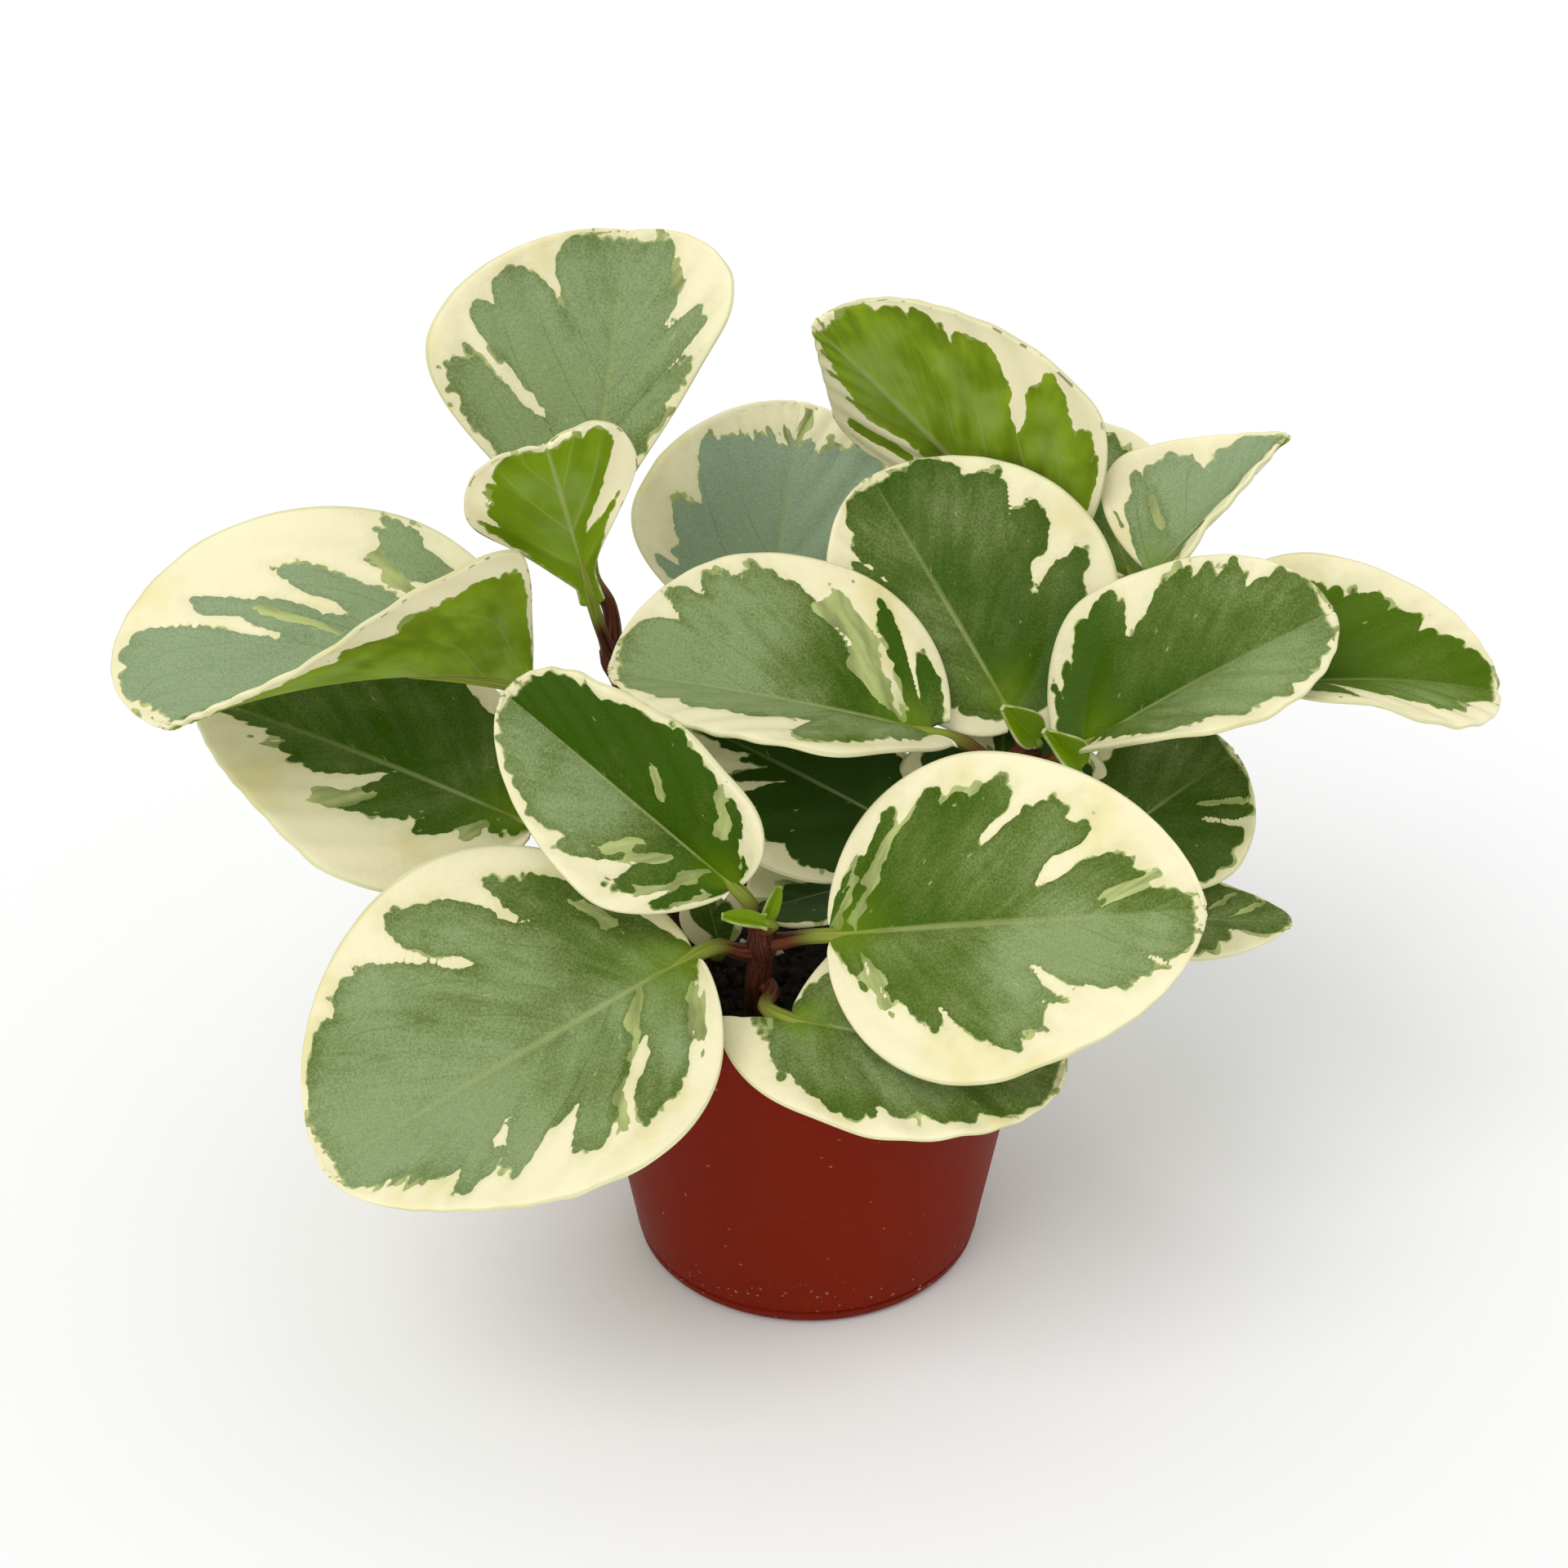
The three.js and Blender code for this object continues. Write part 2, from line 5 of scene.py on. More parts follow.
import bpy
import numpy as np
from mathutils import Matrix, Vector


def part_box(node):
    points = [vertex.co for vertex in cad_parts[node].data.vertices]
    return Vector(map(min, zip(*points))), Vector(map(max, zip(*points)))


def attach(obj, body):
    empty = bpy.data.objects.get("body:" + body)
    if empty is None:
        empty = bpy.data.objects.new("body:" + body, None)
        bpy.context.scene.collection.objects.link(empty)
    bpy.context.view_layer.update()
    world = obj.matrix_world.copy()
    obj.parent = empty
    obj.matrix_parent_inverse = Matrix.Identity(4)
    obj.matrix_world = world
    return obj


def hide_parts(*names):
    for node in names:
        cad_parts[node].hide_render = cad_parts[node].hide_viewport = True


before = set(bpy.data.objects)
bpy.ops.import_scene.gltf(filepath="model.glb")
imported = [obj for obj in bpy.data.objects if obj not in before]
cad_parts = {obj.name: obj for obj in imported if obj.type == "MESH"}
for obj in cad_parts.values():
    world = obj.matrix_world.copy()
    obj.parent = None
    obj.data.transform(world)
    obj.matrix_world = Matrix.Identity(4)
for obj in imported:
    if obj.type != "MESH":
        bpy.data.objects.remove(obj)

bl_info = {
    "name": "Potted peperomia",
    "version": (1, 0, 0),
    "blender": (4, 5, 0),
    "location": "View3D > Sidebar > Peperomia",
    "description": "Models the leaves, stems, soil and pot of a potted peperomia",
    "category": "Object",
}

MILLIMETRE = 0.001
POT_LOW, POT_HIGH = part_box("pot")
SEED = 41

# Side veins: how far they lean to the tip, how they fan out, and how they arch for each square
# millimetre off the midrib. A streak along them ends this many times as sharply at its sides.
VEIN_SLANT = 0.35
VEIN_FAN = 2.4
VEIN_ARC = 0.012
STREAK_SHARPNESS = 3

# Length of the midrib, in millimetres, from which a leaf has its full relief and lobes.
FULL_SIZE = 60

# Steps along a stem and along a stalk, and millimetres between the leaf scars of a stem.
STEM_STEPS = 70
STALK_STEPS = 34
SCAR_GAP = 17

# Pot: the depth of its lip in millimetres, the number of its drain holes, and in metres their
# radius and that of the circle they stand on.
LIP_DEPTH = 9
DRAIN_HOLES = 6
DRAIN_RADIUS = 0.004
DRAIN_CIRCLE = 0.024

# Soil, in metres: the height of its surface at the wall, its rise to the middle, the height of
# its lumps, its gap to the wall, and how far crumbs keep from the middle of a stem. Then the
# share of the crumbs that are pale grit, the rings of faces that its surface is cut into, and the
# width of a ring as a share of its radius.
SOIL_HEIGHT = 0.0838
SOIL_RISE = 0.0034
LUMP_HEIGHT = 0.00035
SOIL_GAP = 0.0004
CRUMB_GAP = 0.0042
GRIT_SHARE = 0.07
SOIL_RINGS = 9
SOIL_RING = 0.068

# Stage, in metres, with the lens and sensor in millimetres.
FLOOR_SIZE = 60
KEY_PLACE = (-0.5, -0.4, 1.2)
KEY_TURN = (math.radians(30), math.radians(-22), 0)
KEY_SPREAD = math.radians(38)
CAMERA_PLACE = (-0.006, -0.617, 0.509)
CAMERA_TILT = math.radians(58.5)
CAMERA_SENSOR = 36
CAMERA_LENS = 69.9

# Stems in millimetres, from inside the soil to the tip. Joints are the places along a stem,
# from 0 to 1, where leaf stalks leave.
STEMS = [
    {"name": "stem_front", "radius": 3.2, "joints": [0.84],
     "points": [(-12, -31, 62), (-12, -32, 86), (-12, -36, 100), (-11, -39, 112), (-11, -40, 121)]},
    {"name": "stem_tall_left", "radius": 3, "joints": [0.45, 0.95],
     "points": [(-18, 0, 62), (-21, 2, 86), (-30, 4, 115), (-41, 7, 145), (-47, 8, 165)]},
    {"name": "stem_centre_right", "radius": 3.1, "joints": [0.3, 0.93],
     "points": [(16, 3, 62), (22, 4, 86), (34, 5, 110), (47, 5, 130), (54, 5, 139)]},
    {"name": "stem_left", "radius": 2.9, "joints": [0.55, 0.95],
     "points": [(-24, -11, 62), (-27, -10, 86), (-40, -8, 110), (-50, -6, 134), (-55, -4, 149)]},
    {"name": "stem_back", "radius": 2.9, "joints": [0.5, 0.94],
     "points": [(0, 28, 62), (0, 30, 86), (1, 35, 110), (-2, 39, 130), (-4, 41, 139)]},
    {"name": "stem_back_right", "radius": 3, "joints": [0.5, 0.95],
     "points": [(24, 20, 62), (30, 23, 86), (46, 29, 110), (62, 33, 136), (70, 35, 151)]},
]

# Shape of a leaf where its entry gives nothing else: a pair is its left and right half, seen
# from above with the tip ahead. Lengths are in millimetres and angles in degrees. Half is half
# the width, and widest is where along the midrib. The curves are the powers of the outline, round
# at 2. Arch bends the midrib, fold and curl lift the halves, fade lessens both to the tip, and
# twist turns the tip against the base. Lobe and notch are how far the halves reach behind the
# base and past the tip. Stalk is the thickness of the stalk, 1 on a grown leaf.
USUAL_LEAF = {
    "half": 25, "widest": 0.45, "base_curve": 1.9, "tip_curve": 1.9, "arch": 8, "fold": 8,
    "curl": 8, "fade": 0, "twist": 0, "lobe": 0, "notch": 0, "stalk": 1,
    "bloom_and_sheen": (0.5, 0.5, 0.5, 0.5), "fresh_or_shade": 0, "end": 0.975, "rows": 54, "columns": 40,
}

LEAVES = [
    {"name": "leaf_top_left", "start": (-46, 10, 163), "leave": (0, 0.3, 1), "base": (-51, 15, 189),
     "tip": (-42, 45, 252), "face": (0.15, -0.87, 0.45), "half": (44, 28), "widest": (0.52, 0.74),
     "base_curve": (1.3, 1), "tip_curve": (1.9, 2.3), "arch": -8, "fold": (5, 10),
     "curl": (8, 30), "notch": (0, 6)},
    {"name": "leaf_top_young", "start": (-47, 6, 164), "leave": (-0.2, -0.5, 1),
     "base": (-50, 0, 180), "tip": (-58, -12, 225), "face": (0.1, 0.9, 0.3), "half": (19, 22.5),
     "widest": (0.63, 0.56), "base_curve": (0.75, 0.85), "tip_curve": (2.9, 2.25), "arch": 5,
     "fold": (20, -15), "curl": (20, 5), "notch": 5, "stalk": 0.8},
    {"name": "leaf_left_folded", "start": (-55, -4, 147), "leave": (-0.6, 0, 1),
     "base": (-65, -2, 160), "tip": (-146, -25, 161), "face": (0, -0.2, 0.97), "half": (43.5, 49),
     "widest": (0.16, 0.64), "base_curve": (1, 1.9), "tip_curve": (1.2, 1.9), "arch": 42,
     "fold": (95, 14), "curl": (15, 45), "fade": (0.78, 0.85), "twist": 20, "notch": (0, 35)},
    {"name": "leaf_left_lower", "start": (-43, -8, 118), "leave": (-1, 0.3, 0.1),
     "base": (-66, 0, 119), "tip": (-146, 12, 148), "face": (-0.15, -0.2, 0.95),
     "half": (38, 37), "widest": (0.43, 0.5), "tip_curve": (1.4, 1.9), "arch": 10,
     "fold": (-4, 8)},
    {"name": "leaf_front_upper", "start": (-11, -39, 115), "leave": (-0.5, -0.5, 1),
     "base": (-17, -45, 131), "tip": (-68, -28, 172), "face": (-0.2, -0.7, 0.6), "half": (24, 30),
     "widest": (0.33, 0.51), "base_curve": (1.4, 3), "tip_curve": (1.8, 2.3), "arch": 5,
     "fold": (8, 46)},
    {"name": "leaf_front_left", "start": (-11, -38, 109), "leave": (-1, -0.3, 0.2),
     "base": (-26, -46, 114), "tip": (-108, -85, 82), "face": (-0.1, -0.7, 0.7),
     "half": (44, 50), "widest": (0.36, 0.45), "tip_curve": (1.65, 1.9), "fold": (20, 0),
     "curl": (12, 8)},
    {"name": "leaf_front_right", "start": (-11, -39, 112), "leave": (1, -0.3, 0.3),
     "base": (4, -46, 119), "tip": (85, -70, 142), "face": (-0.1, -0.75, 0.65),
     "half": (39, 38), "widest": 0.42, "tip_curve": 1.75, "fold": (2, 12), "curl": (4, 8)},
    {"name": "leaf_front_low", "start": (-12, -34, 98), "leave": (0.6, -1, 0.4),
     "base": (-5, -56, 103), "tip": (56, -75, 100), "face": (0, -0.45, 0.88), "half": (30, 27),
     "widest": 0.36, "fold": (2, 6), "lobe": (0, 16)},
    {"name": "leaf_middle", "start": (50, 4, 133), "leave": (-1, -0.7, 0.5),
     "base": (28, -1, 146), "tip": (-46, -9, 166), "face": (0, -0.35, 0.94), "half": (41, 38),
     "widest": (0.48, 0.51), "base_curve": (1.3, 2.6), "tip_curve": (1.5, 1.75), "arch": 10,
     "fold": (36, 14), "curl": (1, 8), "fade": (0.15, 0), "lobe": (7, 5)},
    {"name": "leaf_middle_tall", "start": (52, 6, 135), "leave": (-0.4, 1, 0.6),
     "base": (48, 13, 143), "tip": (15, 46, 189), "face": (0, -0.8, 0.5), "half": (26, 41),
     "widest": (0.55, 0.42), "base_curve": (2.2, 2.1), "fold": (14, 0), "curl": (10, 5),
     "lobe": (4, 9)},
    {"name": "leaf_right", "start": (52, 4, 133), "leave": (1, -0.4, 0.4), "base": (65, -2, 143),
     "tip": (119, -5, 180), "face": (-0.1, -0.45, 0.9), "half": 32,
     "widest": (0.26, 0.35), "base_curve": (1.75, 1.05), "tip_curve": (2, 1.8), "fold": (15, 60),
     "curl": (5, 10), "fade": (0, 0.9), "lobe": (7, 6)},
    {"name": "leaf_back_tall", "start": (66, 35, 145), "leave": (-0.7, 0.6, 0.8),
     "base": (60, 50, 163), "tip": (1, 62, 222), "face": (0.1, 0.8, 0.5), "half": (42, 32),
     "widest": (0.35, 0.66), "base_curve": (1.7, 0.85), "tip_curve": (2.2, 1), "arch": 12,
     "fold": (2, 7), "curl": (10, 12)},
    {"name": "leaf_back_middle", "start": (-3, 40, 134), "leave": (-0.5, 1, 0.5),
     "base": (-11, 53, 137), "tip": (-2, 96, 186), "face": (0, -0.8, 0.6), "half": (40, 35),
     "widest": (0.44, 0.52), "base_curve": 1.6, "tip_curve": (1.8, 1.9), "arch": -8,
     "fold": (10, 0), "curl": (20, 5)},
    {"name": "leaf_back_right", "start": (68, 34, 146), "leave": (0.8, -0.5, 1),
     "base": (82, 31, 171), "tip": (114, 45, 201), "face": (-0.3, -0.6, 0.6), "half": (26.5, 19.5),
     "widest": (0.35, 0.2), "base_curve": (2.7, 2.4), "tip_curve": (1.15, 0.9), "arch": -5,
     "fold": (5, 54), "curl": (5, 7), "fade": (0, -0.3)},
    {"name": "leaf_back_hidden", "start": (57, 32, 127), "leave": (0.3, 1, 0.4),
     "base": (80, 55, 158), "tip": (66, 88, 184), "face": (0.1, -0.5, 0.85), "half": 20,
     "rows": 28, "columns": 22},
    {"name": "leaf_far_right", "start": (61, 32, 134), "leave": (1, -0.3, 0.9),
     "base": (95, 12, 148), "tip": (162, 5, 153), "face": (0, -0.35, 0.94), "half": (32, 28),
     "widest": (0.34, 0.5), "base_curve": (2.3, 1.9), "tip_curve": (1.65, 1.9), "arch": 35,
     "fold": (25, 60), "curl": 10, "fade": (0.2, 0.8)},
    {"name": "leaf_right_lower", "start": (33, 4, 107), "leave": (1, -0.2, -0.1),
     "base": (69, 0, 112), "tip": (102, 9, 134), "face": (0.1, -0.6, 0.8), "half": (21, 25),
     "widest": 0.55, "fold": (2, 6), "rows": 32, "columns": 26},
    {"name": "leaf_right_low", "start": (25, 4, 92), "leave": (1, -0.3, 0.6),
     "base": (80, -13, 102), "tip": (115, -16, 102), "face": (0.1, -0.3, 0.9), "half": 13,
     "widest": 0.3, "tip_curve": 1.5, "arch": -8, "fold": 6, "curl": -10, "rows": 28,
     "columns": 20},
    {"name": "leaf_inner_dark", "start": (35, 4, 112), "leave": (-1, -0.2, 0.2),
     "base": (23, 0, 118), "tip": (-28, 0, 148), "face": (0, -0.5, 0.85), "half": 29,
     "widest": 0.5, "fold": 6, "rows": 32, "columns": 26,
     "twin": {"base": (46, 10, 104), "tip": (47, 16, 138), "face": (0, -0.95, 0.2), "half": 26,
              "widest": 0.68}},
    {"name": "leaf_inner_low", "start": (24, 4, 92), "leave": (-0.6, -0.5, 1),
     "base": (9, -9, 107), "tip": (-13, -26, 111), "face": (-0.2, -0.3, 0.9), "half": 14,
     "rows": 24, "columns": 18},
    {"name": "leaf_inner_striped", "start": (-28, -10, 91), "leave": (0.6, -0.8, 0.2),
     "base": (-21, -20, 97), "tip": (-25, -18, 114), "face": (0.1, -0.9, 0.3), "half": 8,
     "widest": 0.6, "stalk": 0.7, "rows": 20, "columns": 14},
    {"name": "leaf_right_bud", "start": (54, 5, 137), "leave": (0, -0.4, 1), "base": (54, 3, 141),
     "tip": (45, 0, 152), "face": (-0.3, -0.6, 0.8), "half": 5.4, "widest": 0.45, "stalk": 0.6,
     "tip_curve": 1.3, "fold": 30, "rows": 20, "columns": 14,
     "twin": {"base": (64, -7, 140), "tip": (54, -9, 151), "half": 5.5, "fold": 40,
              "tip_curve": 1.15}},
    {"name": "leaf_front_bud", "start": (-11, -40, 116), "leave": (0.3, -1, 0.3),
     "base": (-10, -50, 125), "tip": (-20, -52, 128), "face": (0, -0.5, 0.9), "half": 2.4,
     "widest": 0.4, "fold": 20, "stalk": 0.5, "rows": 20, "columns": 12,
     "twin": {"base": (-10.4, -46, 121.5), "tip": (-7, -44, 131), "face": (0.2, -0.9, 0.3),
              "half": 2}},
    {"name": "leaf_rear_middle", "start": (1, 36, 108), "leave": (0.1, 1, 0.7),
     "base": (5, 52, 116), "tip": (20, 112, 106), "face": (0.1, 0.25, 0.95), "half": 28,
     "arch": 25, "rows": 36, "columns": 28},
    {"name": "leaf_rear_right", "start": (46, 29, 110), "leave": (0.6, 0.8, 0.5),
     "base": (58, 47, 118), "tip": (108, 84, 112), "face": (0.2, 0.2, 0.95), "half": 27,
     "arch": 22, "rows": 36, "columns": 28},
    {"name": "leaf_rear_inner", "start": (1, 37, 117), "leave": (0.9, 0.6, 0.7),
     "base": (22, 48, 130), "tip": (62, 104, 128), "face": (0, 0.2, 0.95), "half": 26,
     "arch": 20, "rows": 36, "columns": 28},
    {"name": "leaf_rear_left", "start": (-31, 5, 117), "leave": (-0.3, 1, 0.1),
     "base": (-45, 28, 114), "tip": (-108, 62, 108), "face": (-0.1, 0.15, 0.97), "half": 28,
     "arch": 22, "rows": 36, "columns": 28},
]

# Markings. For each half of a leaf: pairs of a side vein, from below 0 at the base to 1 at the
# tip, and the share of the way to the margin that is green there. A streak is its half, left 1
# or right -1, its vein, its half width along the rib, where it begins and ends on the way to the
# margin, and its kind. Bloom is how grey the green is, partly a waxy bloom and partly painted
# sheen: left base, left tip, right base, right tip. Fresh or shade is 1 on a young leaf, and below
# 0 it is painted shade that darkens the green of a leaf lying in shade. End is where the green
# stops short of the tip.
MARKINGS = {
    "leaf_front_right": {
        "left": [(-0.1, 0.3), (-0.02, 0.55), (0, 0.74), (0.03, 0.66), (0.05, 0.88), (0.075, 0.72),
                 (0.1, 0.9), (0.12, 0.78), (0.17, 0.77), (0.21, 0.86), (0.25, 0.6), (0.28, 0.72),
                 (0.31, 0.82), (0.36, 0.7), (0.42, 0.66), (0.45, 0.5), (0.5, 0.46), (0.56, 0.56),
                 (0.62, 0.5), (0.68, 0.32), (0.8, 0.3), (0.9, 0.35), (1, 0.5)],
        "right": [(-0.1, 0.1), (0, 0.18), (0.02, 0.4), (0.045, 0.56), (0.07, 0.36), (0.1, 0.54),
                  (0.14, 0.68), (0.165, 0.52), (0.2, 0.76), (0.23, 0.85), (0.27, 0.76),
                  (0.3, 0.72), (0.34, 0.54), (0.38, 0.62), (0.42, 0.5), (0.46, 0.58), (0.5, 0.68),
                  (0.55, 0.7), (0.6, 0.64), (0.68, 0.7), (0.8, 0.82), (1, 0.9)],
        "streaks": [(1, 0.02, 0.006, 0.1, 0.75, "pale"), (1, 0.068, 0.009, 0.12, 0.8, "pale"),
                    (1, 0.25, 0.008, 0.5, 0.8, "cream"), (1, 0.455, 0.022, 0.2, 0.8, "cream"),
                    (1, 0.69, 0.03, 0.1, 0.5, "pale"), (-1, 0.072, 0.014, 0.35, 0.64, "pale"),
                    (-1, 0.4, 0.018, 0.32, 0.6, "cream"), (-1, 0.64, 0.012, 0.5, 0.8, "cream")],
        "bloom_and_sheen": (0, 0.75, 0.5, 1.1), "fresh_or_shade": 0.15},
    "leaf_front_left": {
        "left": [(-0.1, 0.15), (0, 0.3), (0.02, 0.36), (0.04, 0.65), (0.055, 0.8), (0.075, 0.84),
                 (0.1, 0.82), (0.12, 0.74), (0.135, 0.56), (0.155, 0.66), (0.175, 0.76),
                 (0.2, 0.79), (0.22, 0.74), (0.235, 0.48), (0.28, 0.53), (0.32, 0.75),
                 (0.36, 0.62), (0.42, 0.85), (0.45, 0.62), (0.5, 0.68), (0.6, 0.58), (0.7, 0.6),
                 (0.8, 0.74), (1, 0.7)],
        "right": [(-0.1, 0.2), (0, 0.5), (0.03, 0.7), (0.07, 0.82), (0.1, 0.82), (0.13, 0.58),
                  (0.145, 0.76), (0.165, 0.85), (0.19, 0.9), (0.22, 0.88), (0.24, 0.76),
                  (0.262, 0.5), (0.285, 0.76), (0.31, 0.88), (0.36, 0.9), (0.39, 0.8),
                  (0.43, 0.9), (0.5, 0.9), (0.6, 0.84), (0.8, 0.85), (1, 0.9)],
        "streaks": [(-1, 0.125, 0.006, 0.55, 0.85, "cream"), (-1, 0.255, 0.01, 0.5, 0.8, "cream"),
                    (-1, 0.395, 0.008, 0.8, 1, "cream"), (-1, 0.06, 0.012, 0.4, 0.62, "pale"),
                    (1, 0.15, 0.01, 0.08, 0.35, "pale"), (1, 0.135, 0.01, 0.35, 0.65, "cream"),
                    (1, 0.39, 0.02, 0.38, 0.5, "cream"), (1, 0.02, 0.015, 0.35, 0.8, "pale"),
                    (1, 0.15, 0.01, 0.5, 0.72, "pale")],
        "bloom_and_sheen": (0.85, 1.2, 0.75, 1.15)},
    "leaf_front_upper": {
        "left": [(-0.1, 0.3), (0, 0.55), (0.03, 0.85), (0.055, 0.95), (0.07, 0.88), (0.085, 0.6),
                 (0.1, 0.3), (0.12, 0.84), (0.15, 0.84), (0.17, 0.78), (0.19, 0.3), (0.215, 0.72),
                 (0.25, 0.84), (0.3, 0.8), (0.34, 0.9), (0.42, 0.93), (0.5, 0.92), (0.6, 0.92),
                 (0.67, 0.93), (0.7, 0.78), (0.75, 0.85), (0.85, 0.88), (1, 0.8)],
        "right": [(-0.1, 0.4), (-0.03, 0.55), (0, 0.62), (0.015, 0.5), (0.03, 0.8), (0.055, 0.88),
                  (0.07, 0.75), (0.085, 0.5), (0.1, 0.9), (0.15, 0.95), (0.2, 0.96), (0.25, 0.92),
                  (0.3, 0.92), (0.33, 0.93), (0.36, 0.82), (0.4, 0.92), (0.5, 0.93), (0.6, 0.86),
                  (0.7, 0.9), (0.8, 0.85), (1, 0.8)],
        "streaks": [(-1, 0.08, 0.012, 0.45, 1, "pale"), (-1, 0.012, 0.008, 0.4, 0.9, "cream"),
                    (-1, 0.27, 0.012, 0.3, 0.45, "pale"), (1, 0.1, 0.012, 0.15, 0.8, "pale"),
                    (1, 0.035, 0.006, 0.6, 0.9, "pale"), (1, 0.195, 0.016, 0.2, 0.6, "pale"),
                    (1, 0.19, 0.014, 0.5, 0.9, "cream"), (1, 0.25, 0.01, 0.35, 0.5, "pale")],
        "bloom_and_sheen": (0.1, 1.1, -0.1, -0.1)},
    "leaf_front_low": {
        "left": [(-0.3, 0.7), (0.1, 0.78), (0.3, 0.7), (0.6, 0.8), (1, 0.8)],
        "right": [(-0.25, 0.2), (-0.15, 0.45), (-0.1, 0.72), (-0.06, 0.7), (-0.02, 0.78),
                  (0, 0.76), (0.05, 0.82), (0.1, 0.87), (0.15, 0.87), (0.18, 0.7), (0.21, 0.82),
                  (0.25, 0.74), (0.3, 0.8), (0.36, 0.88), (0.45, 0.84), (0.6, 0.88), (1, 0.9)],
        "streaks": [(-1, -0.13, 0.05, 0.1, 0.7, "pale")],
        "bloom_and_sheen": (0.6, 0.7, 0.6, 0.7)},
    "leaf_middle": {
        "left": [(-0.1, 0.3), (0, 0.55), (0.05, 0.72), (0.12, 0.78), (0.17, 0.8), (0.2, 0.72),
                 (0.23, 0.45), (0.3, 0.42), (0.36, 0.5), (0.45, 0.6), (0.6, 0.62), (0.8, 0.75),
                 (1, 0.9)],
        "right": [(-0.12, 0.5), (-0.05, 0.8), (-0.02, 0.78), (0.002, 0.3), (0.015, 0.82),
                  (0.03, 0.88), (0.045, 0.8), (0.06, 0.3), (0.08, 0.14), (0.11, 0.2),
                  (0.135, 0.35), (0.155, 0.7), (0.18, 0.86), (0.22, 0.88), (0.26, 0.8),
                  (0.3, 0.93), (0.33, 0.9), (0.36, 0.76), (0.4, 0.9), (0.44, 0.9), (0.47, 0.6),
                  (0.5, 0.6), (0.56, 0.74), (0.65, 0.83), (0.8, 0.86), (1, 0.9)],
        "streaks": [(-1, 0.1, 0.04, 0.1, 0.88, "pale"), (-1, 0.062, 0.006, 0.2, 1, "cream")],
        "bloom_and_sheen": (0.7, 1.15, 0.1, 1.1)},
    "leaf_middle_tall": {
        "left": [(-0.1, 0.5), (0, 0.7), (0.2, 0.75), (0.35, 0.7), (0.42, 0.72), (0.45, 0.66),
                 (0.5, 0.62), (0.56, 0.66), (0.62, 0.82), (0.7, 0.88), (0.8, 0.86), (1, 0.85)],
        "right": [(-0.1, 0.6), (0, 0.7), (0.05, 0.8), (0.08, 0.86), (0.105, 0.84), (0.125, 0.7),
                  (0.138, 0.5), (0.155, 0.7), (0.175, 0.8), (0.22, 0.84), (0.25, 0.7),
                  (0.265, 0.6), (0.29, 0.78), (0.33, 0.88), (0.38, 0.78), (0.43, 0.74),
                  (0.5, 0.83), (0.6, 0.93), (0.7, 0.95), (0.85, 0.9), (1, 0.9)],
        "streaks": [(-1, 0.138, 0.014, 0.5, 1, "cream"), (1, 0.44, 0.01, 0.5, 0.7, "cream")],
        "bloom_and_sheen": (0.5, 0.6, 0.25, 0.2), "fresh_or_shade": -0.2},
    "leaf_right": {
        "left": [(-0.15, 0.9), (-0.06, 0.96), (-0.045, 0.8), (-0.03, 0.86), (-0.01, 0.76),
                 (0.005, 0.8), (0.02, 0.86), (0.04, 0.85), (0.055, 0.94), (0.08, 0.97),
                 (0.1, 0.9), (0.12, 0.7), (0.13, 0.56), (0.15, 0.62), (0.17, 0.7), (0.2, 0.86),
                 (0.24, 0.93), (0.27, 0.86), (0.3, 0.94), (0.34, 0.84), (0.38, 0.96),
                 (0.42, 0.84), (0.455, 0.6), (0.48, 0.75), (0.55, 0.93), (0.7, 0.96), (1, 0.95)],
        "right": [(-0.1, 0.6), (0.05, 0.75), (0.1, 0.76), (0.15, 0.85), (0.18, 0.8), (0.21, 0.75),
                  (0.25, 0.8), (0.3, 0.88), (0.4, 0.9), (0.5, 0.86), (0.6, 0.85), (0.8, 0.85),
                  (1, 0.9)],
        "streaks": [(-1, 0.7, 0.02, 0.7, 1, "cream")],
        "bloom_and_sheen": (-0.05, 0.65, 0.6, 1.15), "fresh_or_shade": 0.15},
    "leaf_top_left": {
        "left": [(-0.1, 0.9), (0.05, 0.95), (0.12, 0.97), (0.14, 0.88), (0.165, 0.78),
                 (0.18, 0.78), (0.2, 0.5), (0.215, 0.66), (0.24, 0.86), (0.26, 0.86),
                 (0.29, 0.75), (0.33, 0.86), (0.38, 0.85), (0.42, 0.68), (0.46, 0.4), (0.5, 0.5),
                 (0.56, 0.66), (0.65, 0.85), (0.75, 0.93), (1, 0.95)],
        "right": [(-0.1, 0.9), (0.15, 0.9), (0.25, 0.88), (0.3, 0.94), (0.325, 0.8),
                  (0.345, 0.62), (0.37, 0.82), (0.41, 0.8), (0.44, 0.55), (0.47, 0.44),
                  (0.52, 0.56), (0.57, 0.5), (0.62, 0.52), (0.68, 0.66), (0.73, 0.8),
                  (0.85, 0.9), (1, 0.95)],
        "streaks": [(1, 0.203, 0.007, 0.42, 1, "cream"), (1, 0.47, 0.02, 0.35, 1, "cream")],
        "bloom_and_sheen": (1, 1.2, 1, 1.2)},
    "leaf_top_young": {
        "left": [(-0.1, 0.9), (0.2, 0.92), (0.26, 0.85), (0.3, 0.88), (0.32, 0.68),
                 (0.345, 0.45), (0.38, 0.48), (0.42, 0.6), (0.45, 0.8), (0.5, 0.84),
                 (0.56, 0.86), (0.6, 0.76), (0.64, 0.58), (0.7, 0.6), (0.76, 0.78),
                 (0.85, 0.85), (1, 0.7)],
        "right": [(-0.1, 0.9), (0.15, 0.95), (0.19, 0.9), (0.22, 0.86), (0.25, 0.9),
                  (0.265, 0.65), (0.29, 0.8), (0.33, 0.76), (0.345, 0.66), (0.37, 0.78),
